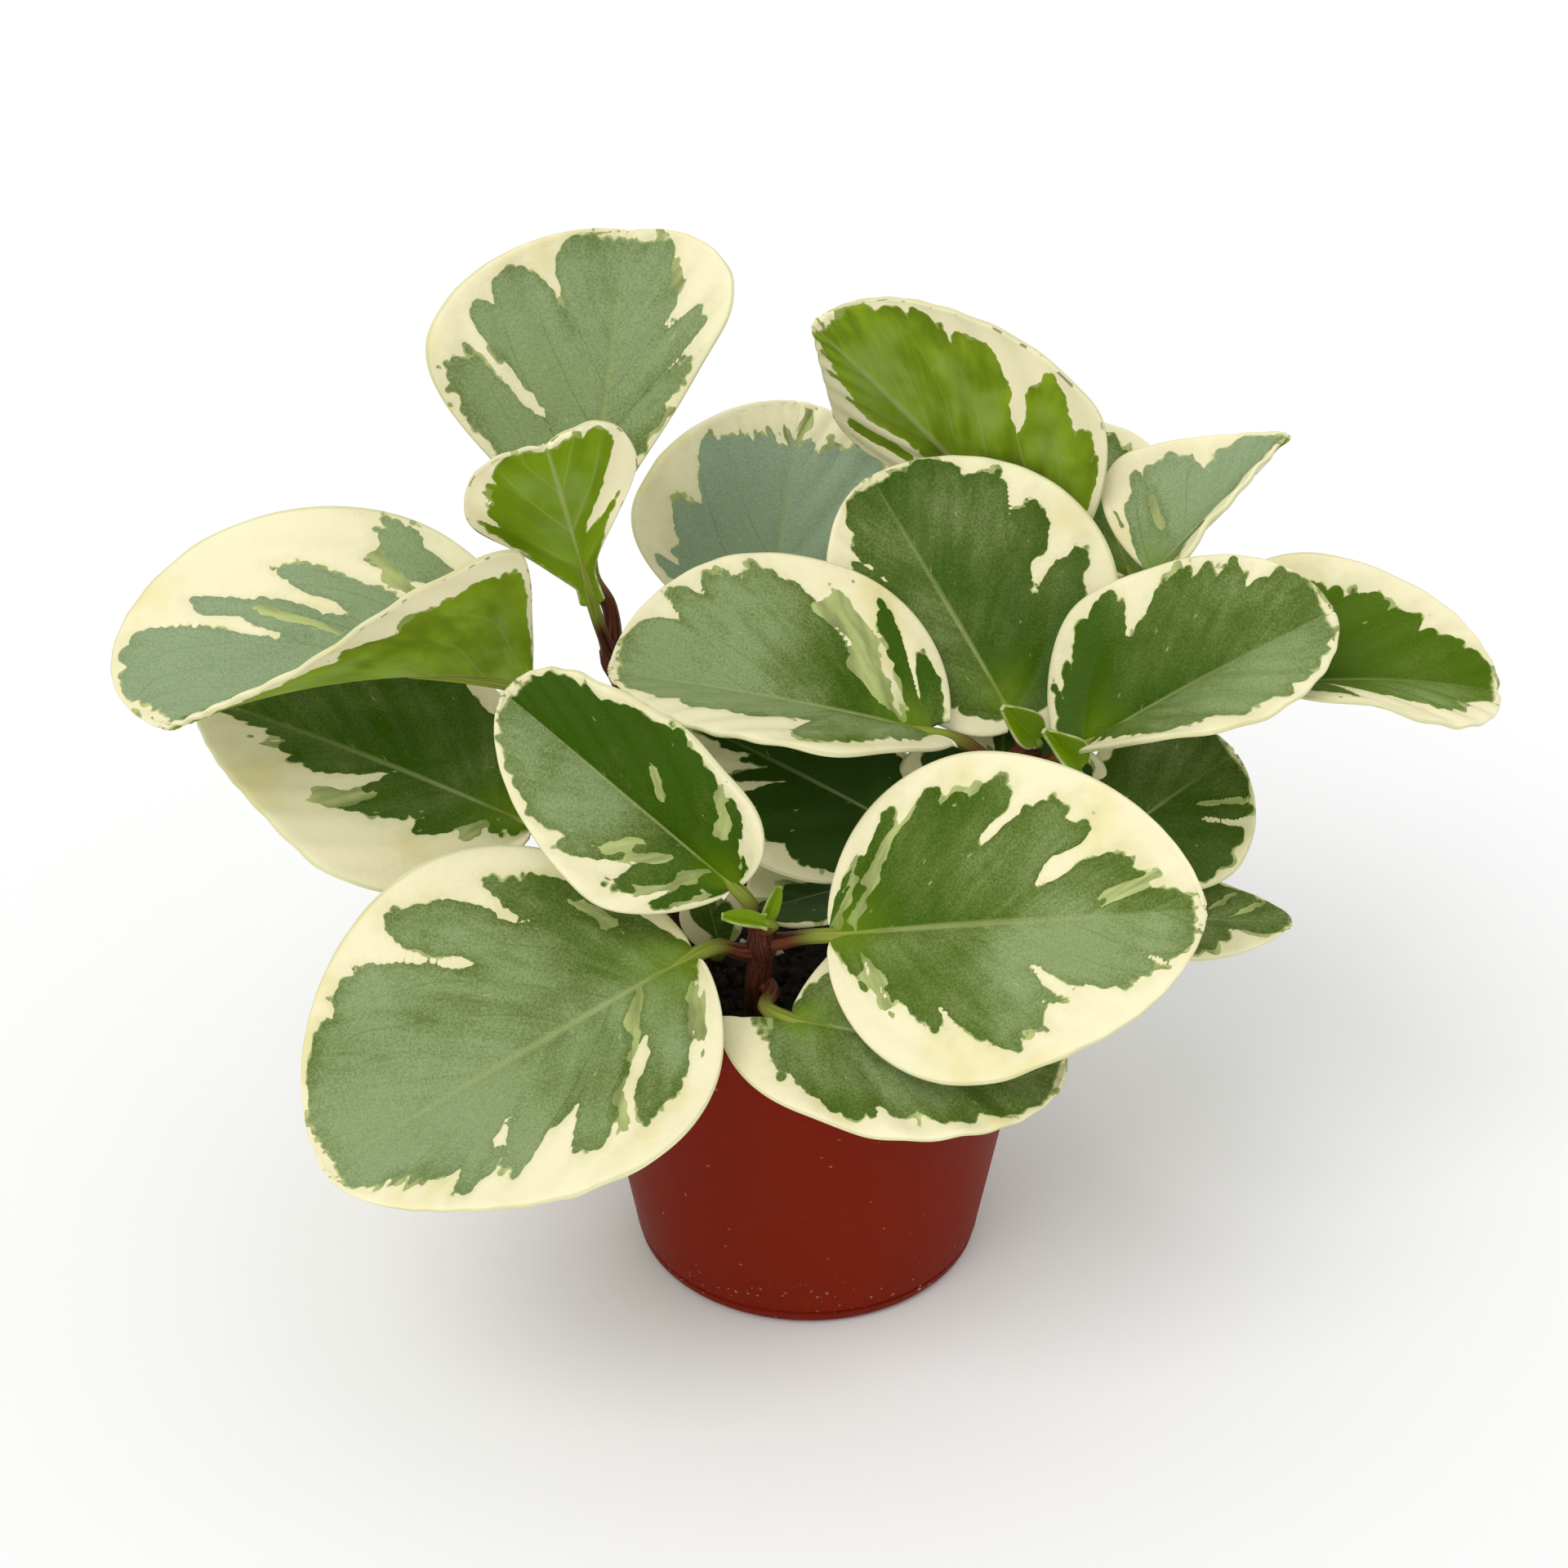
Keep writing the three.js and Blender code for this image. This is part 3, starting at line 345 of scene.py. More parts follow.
                  (0.42, 0.76), (0.45, 0.62), (0.48, 0.76), (0.55, 0.8), (0.65, 0.85),
                  (0.8, 0.85), (0.9, 0.5), (1, 0.4)],
        "fresh_or_shade": 1},
    "leaf_left_folded": {
        "left": [(-0.1, 0.6), (0, 0.9), (0.03, 0.8), (0.05, 0.84), (0.1, 0.8), (0.15, 0.72),
                 (0.2, 0.68), (0.3, 0.7), (0.4, 0.7), (0.6, 0.75), (1, 0.8)],
        "right": [(-0.1, 0.3), (0.04, 0.2), (0.1, 0.3), (0.15, 0.45), (0.18, 0.55), (0.2, 0.62),
                  (0.24, 0.72), (0.265, 0.6), (0.29, 0.5), (0.32, 0.55), (0.36, 0.76),
                  (0.39, 0.66), (0.42, 0.5), (0.44, 0.8), (0.47, 0.92), (0.52, 0.93),
                  (0.56, 0.85), (0.6, 0.9), (0.7, 0.9), (0.8, 0.85), (1, 0.85)],
        "streaks": [(-1, 0.085, 0.04, 0.55, 0.97, "green"), (-1, 0.13, 0.014, 0.5, 0.76, "pale"),
                    (-1, 0.28, 0.02, 0.4, 0.66, "cream"), (-1, 0.33, 0.016, 0.3, 0.5, "pale"),
                    (-1, 0.4, 0.015, 0.35, 0.7, "cream"), (1, 0, 0.006, 0.2, 0.8, "pale")],
        "bloom_and_sheen": (0.6, 0.7, 1.2, 1.3)},
    "leaf_left_lower": {
        "left": [(-0.1, 0.3), (0, 0.4), (0.05, 0.4), (0.08, 0.25), (0.11, 0.36), (0.14, 0.5),
                 (0.165, 0.5), (0.185, 0.38), (0.21, 0.42), (0.25, 0.5), (0.29, 0.49),
                 (0.32, 0.38), (0.36, 0.22), (0.39, 0.06), (0.42, 0.24), (0.46, 0.32),
                 (0.55, 0.34), (0.6, 0.26), (0.7, 0.18), (0.8, 0.2), (1, 0.3)],
        "right": [(-0.1, 0.8), (0.3, 0.88), (0.6, 0.82), (1, 0.85)],
        "streaks": [(1, 0.33, 0.035, 0.3, 0.6, "pale"), (1, 0.09, 0.02, 0.2, 0.46, "pale"),
                    (1, 0.64, 0.05, 0.2, 0.4, "pale")],
        "bloom_and_sheen": (0.15, 0.4, 0.1, 0.3)},
    "leaf_back_tall": {
        "left": [(-0.1, 0.6), (0, 0.86), (0.025, 0.93), (0.04, 0.85), (0.06, 0.93), (0.085, 0.82),
                 (0.1, 0.85), (0.14, 0.93), (0.17, 0.8), (0.19, 0.68), (0.205, 0.5), (0.225, 0.7),
                 (0.27, 0.84), (0.31, 0.82), (0.33, 0.84), (0.355, 0.74), (0.38, 0.83),
                 (0.43, 0.9), (0.46, 0.82), (0.5, 0.88), (0.58, 0.74), (0.65, 0.9), (0.8, 0.92),
                 (1, 0.9)],
        "right": [(-0.1, 0.8), (0.2, 0.8), (0.3, 0.5), (0.36, 0.25), (0.42, 0.32), (0.47, 0.48),
                  (0.55, 0.55), (0.62, 0.62), (0.72, 0.6), (0.8, 0.55), (0.9, 0.6), (1, 0.7)],
        "streaks": [(1, 0.205, 0.01, 0.52, 1, "cream"), (-1, 0.36, 0.035, 0.42, 0.82, "green")]},
    "leaf_back_middle": {
        "left": [(-0.1, 0.7), (0.03, 0.85), (0.05, 0.92), (0.07, 0.76), (0.085, 0.8), (0.11, 0.7),
                 (0.14, 0.7), (0.17, 0.77), (0.2, 0.68), (0.23, 0.56), (0.26, 0.62), (0.3, 0.72),
                 (0.36, 0.84), (0.4, 0.76), (0.45, 0.66), (0.48, 0.56), (0.52, 0.68),
                 (0.55, 0.38), (0.6, 0.45), (0.64, 0.42), (0.7, 0.4), (1, 0.4)],
        "right": [(-0.1, 0.8), (0.2, 0.85), (0.4, 0.85), (0.55, 0.85), (0.62, 0.8), (0.7, 0.55),
                  (0.8, 0.5), (1, 0.4)],
        "streaks": [(-1, 0.85, 0.06, 0, 0.4, "pale")],
        "bloom_and_sheen": (1.5, 1.5, 1.5, 1.5), "end": 0.86},
    "leaf_back_right": {
        "left": [(-0.1, 0.3), (0, 0.62), (0.02, 0.72), (0.05, 0.72), (0.075, 0.82), (0.1, 0.74),
                 (0.14, 0.82), (0.2, 0.83), (0.27, 0.8), (0.31, 0.66), (0.35, 0.55), (0.4, 0.64),
                 (0.47, 0.69), (0.55, 0.78), (0.61, 0.88), (0.67, 0.84), (0.75, 0.66),
                 (0.85, 0.5), (1, 0.4)],
        "right": [(-0.1, 0.4), (0.1, 0.5), (0.3, 0.3), (1, 0.3)],
        "streaks": [(1, -0.012, 0.012, 0.45, 0.9, "green"), (1, 0.12, 0.01, 0.3, 0.45, "pale")],
        "bloom_and_sheen": (1.2, 1.3, 0.6, 0.6)},
    "leaf_far_right": {
        "left": [(-0.1, 0.6), (0.1, 0.75), (0.2, 0.78), (0.28, 0.78), (0.34, 0.72), (0.4, 0.75),
                 (0.45, 0.57), (0.5, 0.67), (0.6, 0.73), (0.8, 0.8), (1, 0.8)],
        "right": [(-0.1, 0.8), (0.15, 0.9), (0.22, 0.9), (0.26, 0.4), (0.32, 0.3), (0.38, 0.5),
                  (0.45, 0.7), (0.52, 0.68), (0.6, 0.5), (0.7, 0.45), (0.8, 0.5), (1, 0.6)],
        "bloom_and_sheen": (0, 0, 0.5, 0.6), "fresh_or_shade": 0.35},
    "leaf_right_lower": {
        "left": [(-0.1, 0.9), (0.4, 0.86), (1, 0.9)],
        "right": [(-0.1, 0.8), (0.1, 0.92), (0.2, 0.88), (0.27, 0.9), (0.32, 0.86), (0.35, 0.6),
                  (0.38, 0.86), (0.43, 0.9), (0.47, 0.6), (0.52, 0.84), (0.6, 0.84), (0.7, 0.92),
                  (1, 0.92)],
        "streaks": [(-1, 0.35, 0.01, 0.4, 1, "cream"), (-1, 0.47, 0.012, 0.3, 1, "pale")],
        "bloom_and_sheen": (0.45, 0.5, 0.4, 0.5), "fresh_or_shade": -0.3},
    "leaf_right_low": {
        "left": [(-0.1, 0.92), (1, 0.95)],
        "right": [(-0.1, 0.85), (0.2, 0.88), (0.28, 0.68), (0.36, 0.6), (0.45, 0.3), (0.5, 0.4),
                  (0.6, 0.62), (0.75, 0.8), (1, 0.8)],
        "streaks": [(1, 0.35, 0.02, 0.3, 0.9, "pale"), (1, 0.55, 0.02, 0.2, 0.8, "pale")],
        "bloom_and_sheen": (0.55, 0.65, 0.55, 0.65), "fresh_or_shade": -0.2},
    "leaf_inner_dark": {
        "left": [(-0.1, 0.8), (0.1, 0.88), (0.15, 0.83), (0.2, 0.8), (0.3, 0.85), (0.38, 0.9),
                 (0.42, 0.5), (0.46, 0.2), (0.52, 0.5), (0.56, 0.2), (0.7, 0.15), (1, 0.2)],
        "right": [(-0.1, 0.85), (1, 0.85)],
        "bloom_and_sheen": (0, 0, 0, 0), "fresh_or_shade": -0.9},
    "leaf_inner_low": {
        "left": [(-0.1, 0.9), (1, 0.9)], "right": [(-0.1, 0.2), (0.4, 0.35), (1, 0.2)],
        "bloom_and_sheen": (0, 0, 0.2, 0.2), "fresh_or_shade": -0.6},
    "leaf_inner_striped": {
        "left": [(-0.1, 0.5), (0.2, 0.2), (0.4, 0.7), (0.6, 0.1), (0.8, 0.6), (1, 0.3)],
        "right": [(-0.1, 0.3), (0.3, 0.7), (0.5, 0.1), (0.7, 0.6), (1, 0.3)],
        "bloom_and_sheen": (0.2, 0.2, 0.2, 0.2)},
    "leaf_right_bud": {
        "left": [(-0.1, 0.98), (1, 0.98)], "right": [(-0.1, 0.98), (1, 0.98)], "fresh_or_shade": 1},
    "leaf_front_bud": {
        "left": [(-0.1, 1), (1, 1)], "right": [(-0.1, 1), (1, 1)], "fresh_or_shade": 1},
}


# Settings that a user would change

COLOUR = {"size": 3, "subtype": "COLOR", "min": 0, "max": 1}


class LeafSettings(bpy.types.PropertyGroup):
    thickness: bpy.props.FloatProperty(
        name="Blade thickness", description="Thickness of a leaf blade",
        default=1.3 * MILLIMETRE, min=0.6 * MILLIMETRE, max=3 * MILLIMETRE, unit="LENGTH")
    margin_wave: bpy.props.FloatProperty(
        name="Margin wave", description="Height of the slow waves along the margin",
        default=0.9 * MILLIMETRE, min=0, max=3 * MILLIMETRE, unit="LENGTH")
    rib_depth: bpy.props.FloatProperty(
        name="Midrib depth", description="Depth of the groove along the midrib",
        default=0.7 * MILLIMETRE, min=0, max=2 * MILLIMETRE, unit="LENGTH")
    vein_depth: bpy.props.FloatProperty(
        name="Vein depth", description="Depth of the side veins",
        default=0.42 * MILLIMETRE, min=0, max=MILLIMETRE, unit="LENGTH")
    vein_gap: bpy.props.FloatProperty(
        name="Vein gap", description="Distance between side veins along the midrib",
        default=11 * MILLIMETRE, min=4 * MILLIMETRE, max=30 * MILLIMETRE, unit="LENGTH")
    cream: bpy.props.FloatVectorProperty(
        name="Cream", description="Colour of the margins", default=(0.89, 0.825, 0.54), **COLOUR)
    butter: bpy.props.FloatVectorProperty(
        name="Butter yellow", description="Colour of the yellowish patches in the margins",
        default=(0.77, 0.69, 0.3), **COLOUR)
    green: bpy.props.FloatVectorProperty(
        name="Green", description="Colour of the deep green", default=(0.043, 0.106, 0.001),
        **COLOUR)
    # Dusty green, grey-green bloom and bluish bloom: partly a waxy bloom and partly painted sheen.
    dusty_bloom_and_sheen: bpy.props.FloatVectorProperty(
        name="Dusty green", description="Green under a thin bloom",
        default=(0.132, 0.19, 0.036), **COLOUR)
    bloom_and_sheen: bpy.props.FloatVectorProperty(
        name="Bloom", description="Colour of the waxy grey-green bloom",
        default=(0.275, 0.36, 0.15), **COLOUR)
    blue_bloom_and_sheen: bpy.props.FloatVectorProperty(
        name="Blue bloom", description="Colour of the bluish bloom on shaded leaves",
        default=(0.31, 0.41, 0.26), **COLOUR)
    # Painted shade: a darker green for the leaves that lie in shade inside the plant.
    shaded: bpy.props.FloatVectorProperty(
        name="Shaded green", description="Green of the old leaves inside the plant",
        default=(0.024, 0.06, 0.006), **COLOUR)
    pale: bpy.props.FloatVectorProperty(
        name="Pale green", description="Colour of the half-green sectors",
        default=(0.36, 0.41, 0.15), **COLOUR)
    young: bpy.props.FloatVectorProperty(
        name="Young green", description="Green of the young leaves and of the bases of all leaves",
        default=(0.148, 0.25, 0.002), **COLOUR)
    # Partly the undersides' own yellow-green and partly painted light shining through the leaf.
    under_green_and_glow: bpy.props.FloatVectorProperty(
        name="Underside green", description="Green of the undersides",
        default=(0.195, 0.295, 0.012), **COLOUR)


class StemSettings(bpy.types.PropertyGroup):
    swell: bpy.props.FloatProperty(
        name="Joint swell", description="How much thicker a stem is where leaf stalks leave",
        default=1.28, min=1, max=2, subtype="FACTOR")
    red: bpy.props.FloatVectorProperty(
        name="Stem red", description="Colour of the stems", default=(0.06, 0.016, 0.007), **COLOUR)
    brown: bpy.props.FloatVectorProperty(
        name="Stem brown", description="Colour of the old bark low on the stems",
        default=(0.04, 0.022, 0.01), **COLOUR)
    stalk_green: bpy.props.FloatVectorProperty(
        name="Stalk green", description="Colour of the leaf stalks near the blade",
        default=(0.27, 0.33, 0.04), **COLOUR)


class SoilSettings(bpy.types.PropertyGroup):
    crumb: bpy.props.FloatProperty(
        name="Crumb size", description="Usual width of a crumb of soil",
        default=2.6 * MILLIMETRE, min=MILLIMETRE, max=6 * MILLIMETRE, unit="LENGTH")
    crumbs: bpy.props.IntProperty(
        name="Crumbs", description="Number of loose crumbs on the soil",
        default=520, min=0, max=900)
    colour: bpy.props.FloatVectorProperty(
        name="Soil colour", description="Colour of the potting mix",
        default=(0.012, 0.009, 0.006), **COLOUR)


class PotSettings(bpy.types.PropertyGroup):
    height: bpy.props.FloatProperty(
        name="Pot height", description="Height of the pot",
        default=POT_HIGH.z - POT_LOW.z, min=0.05, max=0.2, unit="LENGTH")
    mouth: bpy.props.FloatProperty(
        name="Pot mouth", description="Diameter across the lip",
        default=POT_HIGH.x - POT_LOW.x, min=0.06, max=0.3, unit="LENGTH")
    foot: bpy.props.FloatProperty(
        name="Pot foot", description="Diameter of the underside",
        default=84 * MILLIMETRE, min=0.04, max=0.2, unit="LENGTH")
    wall: bpy.props.FloatProperty(
        name="Pot wall", description="Thickness of the wall",
        default=1.5 * MILLIMETRE, min=0.8 * MILLIMETRE, max=4 * MILLIMETRE, unit="LENGTH")
    colour: bpy.props.FloatVectorProperty(
        name="Pot colour", description="Colour of the plastic",
        default=(0.178, 0.0115, 0.002), **COLOUR)


class StageSettings(bpy.types.PropertyGroup):
    floor_tone: bpy.props.FloatProperty(
        name="Floor tone", description="Brightness of the pale floor", default=0.95, min=0, max=1,
        subtype="FACTOR")
    room_light: bpy.props.FloatProperty(
        name="Room light", description="Strength of the light from all round", default=0.8, min=0)
    key_light: bpy.props.FloatProperty(
        name="Key light", description="Strength of the wide soft light from the upper left",
        default=1.1, min=0)


# Small helpers

def nothing_selected():
    if bpy.context.object and bpy.context.object.mode != "OBJECT":
        bpy.ops.object.mode_set(mode="OBJECT")
    bpy.ops.object.select_all(action="DESELECT")


def only(piece):
    nothing_selected()
    piece.select_set(True)
    bpy.context.view_layer.objects.active = piece


def close_shell(seam=0):
    """Merges corners that lie less than a seam apart, and turns all faces outwards."""
    bpy.ops.object.mode_set(mode="EDIT")
    bpy.ops.mesh.select_all(action="SELECT")
    if seam:
        bpy.ops.mesh.remove_doubles(threshold=seam)
    bpy.ops.mesh.normals_make_consistent(inside=False)
    bpy.ops.object.mode_set(mode="OBJECT")


def coordinates(mesh):
    flat = np.zeros(len(mesh.vertices) * 3, np.float32)
    mesh.vertices.foreach_get("co", flat)
    return flat.reshape(-1, 3).astype(float)


def place(mesh, points):
    mesh.vertices.foreach_set("co", np.asarray(points, np.float32).ravel())
    mesh.update()


def attribute(mesh, name, values):
    """Keeps a number, or a vector, for each corner of a mesh."""
    values = np.asarray(values, np.float32)
    kind, field = ("FLOAT", "value") if values.ndim == 1 else ("FLOAT_VECTOR", "vector")
    layer = mesh.attributes.get(name) or mesh.attributes.new(name, kind, "POINT")
    layer.data.foreach_set(field, values.ravel())


def read_attribute(mesh, name):
    values = np.zeros(len(mesh.vertices), np.float32)
    mesh.attributes[name].data.foreach_get("value", values)
    return values.astype(float)


def apply_all(piece):
    only(piece)
    for modifier in list(piece.modifiers):
        bpy.ops.object.modifier_apply(modifier=modifier.name)


def smooth(piece, degrees):
    only(piece)
    bpy.ops.object.shade_smooth_by_angle(angle=math.radians(degrees))


def join(pieces):
    nothing_selected()
    for piece in pieces:
        piece.select_set(True)
    bpy.context.view_layer.objects.active = pieces[0]
    bpy.ops.object.join()
    return bpy.context.object


def hand_over(piece, name, node):
    """Gives a finished piece its name and body, and hides the part of the node it stands for."""
    piece.name = name
    piece.data.name = name
    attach(piece, "root")
    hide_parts(node)


def unit(vectors):
    return vectors / np.linalg.norm(vectors, axis=-1, keepdims=True)


def step(values, low, high):
    """Goes smoothly from 0 at low to 1 at high."""
    share = np.clip((values - low) / (high - low), 0, 1)
    return share * share * (3 - 2 * share)


# Smooth path through points, and a tube along it

def between(t, start, end, first, last):
    """The point at t on the line that is at first when t is start and at last when it is end."""
    return (end - t) / (end - start) * first + (t - start) / (end - start) * last


def smooth_path(points, count):
    """A curve through the points, cut into even steps."""
    points = np.asarray(points, float)
    points = np.vstack([2 * points[0] - points[1], points, 2 * points[-1] - points[-2]])
    samples = []
    for index in range(len(points) - 3):
        four = points[index:index + 4]
        gaps = np.maximum(np.linalg.norm(np.diff(four, axis=0), axis=1) ** 0.5, 1e-4)
        knots = np.concatenate([[0], np.cumsum(gaps)])
        for t in np.linspace(knots[1], knots[2], 12, endpoint=index == len(points) - 4):
            row = four
            for span in (1, 2):
                row = [between(t, knots[spot], knots[spot + span], row[spot], row[spot + 1])
                       for spot in range(len(row) - 1)]
            samples.append(between(t, knots[1], knots[2], *row))
    samples = np.array(samples)
    lengths = np.concatenate([[0], np.cumsum(np.linalg.norm(np.diff(samples, axis=0), axis=1))])
    wanted = np.linspace(0, lengths[-1], count)
    return np.stack([np.interp(wanted, lengths, samples[:, axis]) for axis in range(3)], 1)


def tube(path, radii, resolution):
    """A closed round tube along a path in millimetres, with its share of the way and its grain."""
    nothing_selected()
    bpy.ops.curve.primitive_bezier_curve_add()
    piece = bpy.context.object
    curve = piece.data
    curve.splines.clear()
    line = curve.splines.new("POLY")
    line.points.add(len(path) - 1)
    for point, spot, radius in zip(line.points, path, radii):
        point.co = (*(spot * MILLIMETRE), 1)
        point.radius = radius
    curve.dimensions = "3D"
    curve.bevel_depth = MILLIMETRE
    curve.bevel_resolution = resolution
    curve.use_fill_caps = True
    only(piece)
    bpy.ops.object.convert(target="MESH")
    close_shell(0.001 * MILLIMETRE)
    points = coordinates(piece.data) / MILLIMETRE
    nearest = np.linalg.norm(points[:, None] - path[None], axis=2).argmin(1)
    attribute(piece.data, "along", nearest / (len(path) - 1))
    tangent = unit(np.gradient(path, axis=0)[nearest])
    side = unit(np.cross(tangent, (0.3, 0.2, 0.93)))
    out = unit(points - path[nearest])
    across = (out * side).sum(1)
    upward = (out * np.cross(side, tangent)).sum(1)
    length = nearest * np.linalg.norm(path[1] - path[0])
    attribute(piece.data, "grain", np.stack([across, upward, length * 0.02], 1))
    return piece


# Leaf blade: the surface at u along the midrib and v across it, in millimetres

def half_value(leaf, field, v):
    """The leaf's value on the half, left or right, that v lies on."""
    value = leaf[field]
    left, right = value if isinstance(value, tuple) else (value, value)
    return np.where(v >= 0, left, right).astype(float)


def outline(leaf, u, v):
    widest = half_value(leaf, "widest", v)
    low = u < widest
    curve = np.where(low, half_value(leaf, "base_curve", v), half_value(leaf, "tip_curve", v))
    away = np.clip(np.where(low, (widest - u) / widest, (u - widest) / (1 - widest)), 0, 1)
    return half_value(leaf, "half", v) * (1 - away ** curve) ** (1 / curve)


def half_width(leaf, u, v):
    """Half the width of the blade, with the outline's corners rounded off."""
    blur = 0.35 * u * (1 - u)
    shares = ((-1, 0.12), (-0.5, 0.22), (0, 0.32), (0.5, 0.22), (1, 0.12))
    width = sum(share * outline(leaf, u + blur * shift, v) for shift, share in shares)
    return np.maximum(width, leaf["stalk"] * 2.4 * (1 - u) ** 2 + 0.9)


def end_reach(leaf, u, v, width):
    """How far the blade reaches past its tip on both sides of a notch, or behind its base."""
    notch = half_value(leaf, "notch", v) * np.abs(v) ** 1.5 * width / half_value(leaf, "half", v)
    return notch * u ** 3 - half_value(leaf, "lobe", v) * v * v * (1 - u) ** 3


def blade_points(leaf, u, v):
    base = np.array(leaf["base"], float)
    along = unit(np.array(leaf["tip"], float) - base)
    up = np.array(leaf["face"], float)
    up = unit(up - along * (up @ along))
    across = np.cross(up, along)
    arch = math.radians(leaf["arch"])
    radius = chord_of(leaf) / (2 * math.sin(arch / 2))
    slope = arch / 2 - arch * u
    forward = radius * (math.sin(arch / 2) - np.sin(slope))
    rise = radius * (np.cos(slope) - math.cos(arch / 2))
    width = half_width(leaf, u, v)
    kept = 1 - half_value(leaf, "fade", v) * u
    fold = np.radians(half_value(leaf, "fold", v)) * kept
    bend = np.radians(half_value(leaf, "curl", v)) / half_value(leaf, "half", v) * kept
    run = np.abs(v) * width
    sideways = (np.sin(fold + bend * run) - np.sin(fold)) / bend * np.where(v >= 0, 1, -1)
    lift = (np.cos(fold) - np.cos(fold + bend * run)) / bend
    twist = math.radians(leaf["twist"]) * (u - 0.5)
    sideways, lift = (sideways * np.cos(twist) - lift * np.sin(twist),
                      sideways * np.sin(twist) + lift * np.cos(twist))
    cosine, sine = np.cos(slope)[..., None], np.sin(slope)[..., None]
    tangent = cosine * along + sine * up
    normal = cosine * up - sine * along
    return (base + forward[..., None] * along + rise[..., None] * up
            + end_reach(leaf, u, v, width)[..., None] * tangent
            + sideways[..., None] * across + lift[..., None] * normal)


def blade_normals(leaf, u, v):
    gap = 0.02
    lengthways = (blade_points(leaf, np.minimum(u + gap, 1), v)
                  - blade_points(leaf, np.maximum(u - gap, 0), v))
    crossways = (blade_points(leaf, u, np.minimum(v + gap, 1))
                 - blade_points(leaf, u, np.maximum(v - gap, -1)))
    return unit(np.cross(lengthways, crossways))


def chord_of(leaf):
    return np.linalg.norm(np.subtract(leaf["tip"], leaf["base"]))


def size_of(leaf):
    return min(1, chord_of(leaf) / FULL_SIZE)


def vein_of(leaf, u, v):
    """The side vein that a place lies on: 0 leaves the midrib at its base and 1 at the tip."""
    width, chord = half_width(leaf, u, v), chord_of(leaf)
    out = np.abs(v) * width / chord
    along = u + end_reach(leaf, u, v, width) / chord
    return (along - VEIN_SLANT * out) / (1 + VEIN_FAN * out)


def relief(leaf, settings, u, v, rng):
    """Height in millimetres of the midrib groove, the side veins and the waves of the margin."""
    away = np.abs(v)
    across = away * half_width(leaf, u, v)
    groove = -settings.rib_depth / MILLIMETRE * np.exp(-(across / 1.5) ** 2) * (1 - u) ** 0.5
    length = vein_of(leaf, u, v) * chord_of(leaf) - VEIN_ARC * across ** 2
    beat = length / settings.vein_gap * MILLIMETRE
    ridge = np.exp(-((beat - np.round(beat)) / 0.1) ** 2)
    kept = step(away, 0.02, 0.12) * (1 - step(away, 0.75, 0.98))
    veins = -settings.vein_depth / MILLIMETRE * ridge * kept
    slow, quick = rng.uniform(0, 6.28, 4)[:2]
    waves = np.sin(7.5 * u + slow + 2 * np.sign(v)) + 0.5 * np.sin(16 * u + quick + np.sign(v))
    wave = settings.margin_wave / MILLIMETRE * away ** 2.5 * waves
    swell = -0.45 * np.cos(beat * 2 * math.pi) * step(away, 0.1, 0.4)
    recurve = -0.5 * step(away, 0.93, 1)
    size = size_of(leaf)
    return groove * size + veins + (wave + swell) * size * size + recurve * size


def usual_markings(rng):
    """Markings of a leaf that has no entry of its own."""
    veins = np.arange(-0.3, 1.05, 0.05)
    halves = []
    for _ in range(2):
        slow = 0.72 + 0.14 * np.sin(veins * rng.uniform(4, 9) + rng.uniform(0, 6))
        halves.append(list(zip(veins, slow + rng.uniform(-0.14, 0.12, len(veins)))))
    streaks = [(rng.choice([-1, 1]), rng.uniform(0.05, 0.6), rng.uniform(0.008, 0.02), 0.3, 0.8,
                rng.choice(["pale", "cream"])) for _ in range(5)]
    bloom_and_sheen = tuple(rng.uniform(0.1, 0.9, 4))
    return {"left": halves[0], "right": halves[1], "streaks": streaks, "bloom_and_sheen": bloom_and_sheen}


def reach_of(knots, vein):
    """Share of the way to the margin that is green: fingers end round and gaps end narrow."""
    veins, shares = (np.array(column, float) for column in zip(*knots))
    spot = np.clip(np.searchsorted(veins, vein) - 1, 0, len(veins) - 2)
    done = np.clip((vein - veins[spot]) / (veins[spot + 1] - veins[spot]), 0, 1)
    rising = shares[spot + 1] > shares[spot]
    done = np.where(rising, 1 - (1 - done) ** 2.3, done ** 2.3)
    return shares[spot] + (shares[spot + 1] - shares[spot]) * done


def green_depth(leaf, u, v, vein):
    """How many millimetres inside the green, and inside the half-green, each place lies."""
    away, width, chord = np.abs(v), half_width(leaf, u, v), chord_of(leaf)
    reach = np.where(v >= 0, reach_of(leaf["left"], vein), reach_of(leaf["right"], vein))
    green = np.minimum((reach - away) * width, (leaf["end"] - u) * chord * 0.8)
    half_green = green + 0.3
    for side, spot, spread, near, far, kind in leaf.get("streaks", ()):
        spread = spread * (1.15 + 0.35 * np.sin(away * 21 + spot * 70))
        spot = spot + 0.006 * np.sin(away * 15 + spot * 40) + 0.003 * np.sin(away * 37 + spot * 90)
        taper = step(away, near - 0.12, near + 0.1) * (1 - 0.6 * step(away, far - 0.25, far))
        gap = (np.abs(vein - spot) - spread * taper) * chord * STREAK_SHARPNESS
        gap = np.maximum(gap, np.maximum(near - away, away - far) * width)
        gap = np.where(v * side > 0, gap, 9)
        if kind == "green":
            green = np.maximum(green, -gap)
            half_green = np.maximum(half_green, green)
        else:
            green = np.minimum(green, gap)
            half_green = (np.maximum(half_green, -gap) if kind == "pale"
                          else np.minimum(half_green, gap))
    return green, half_green


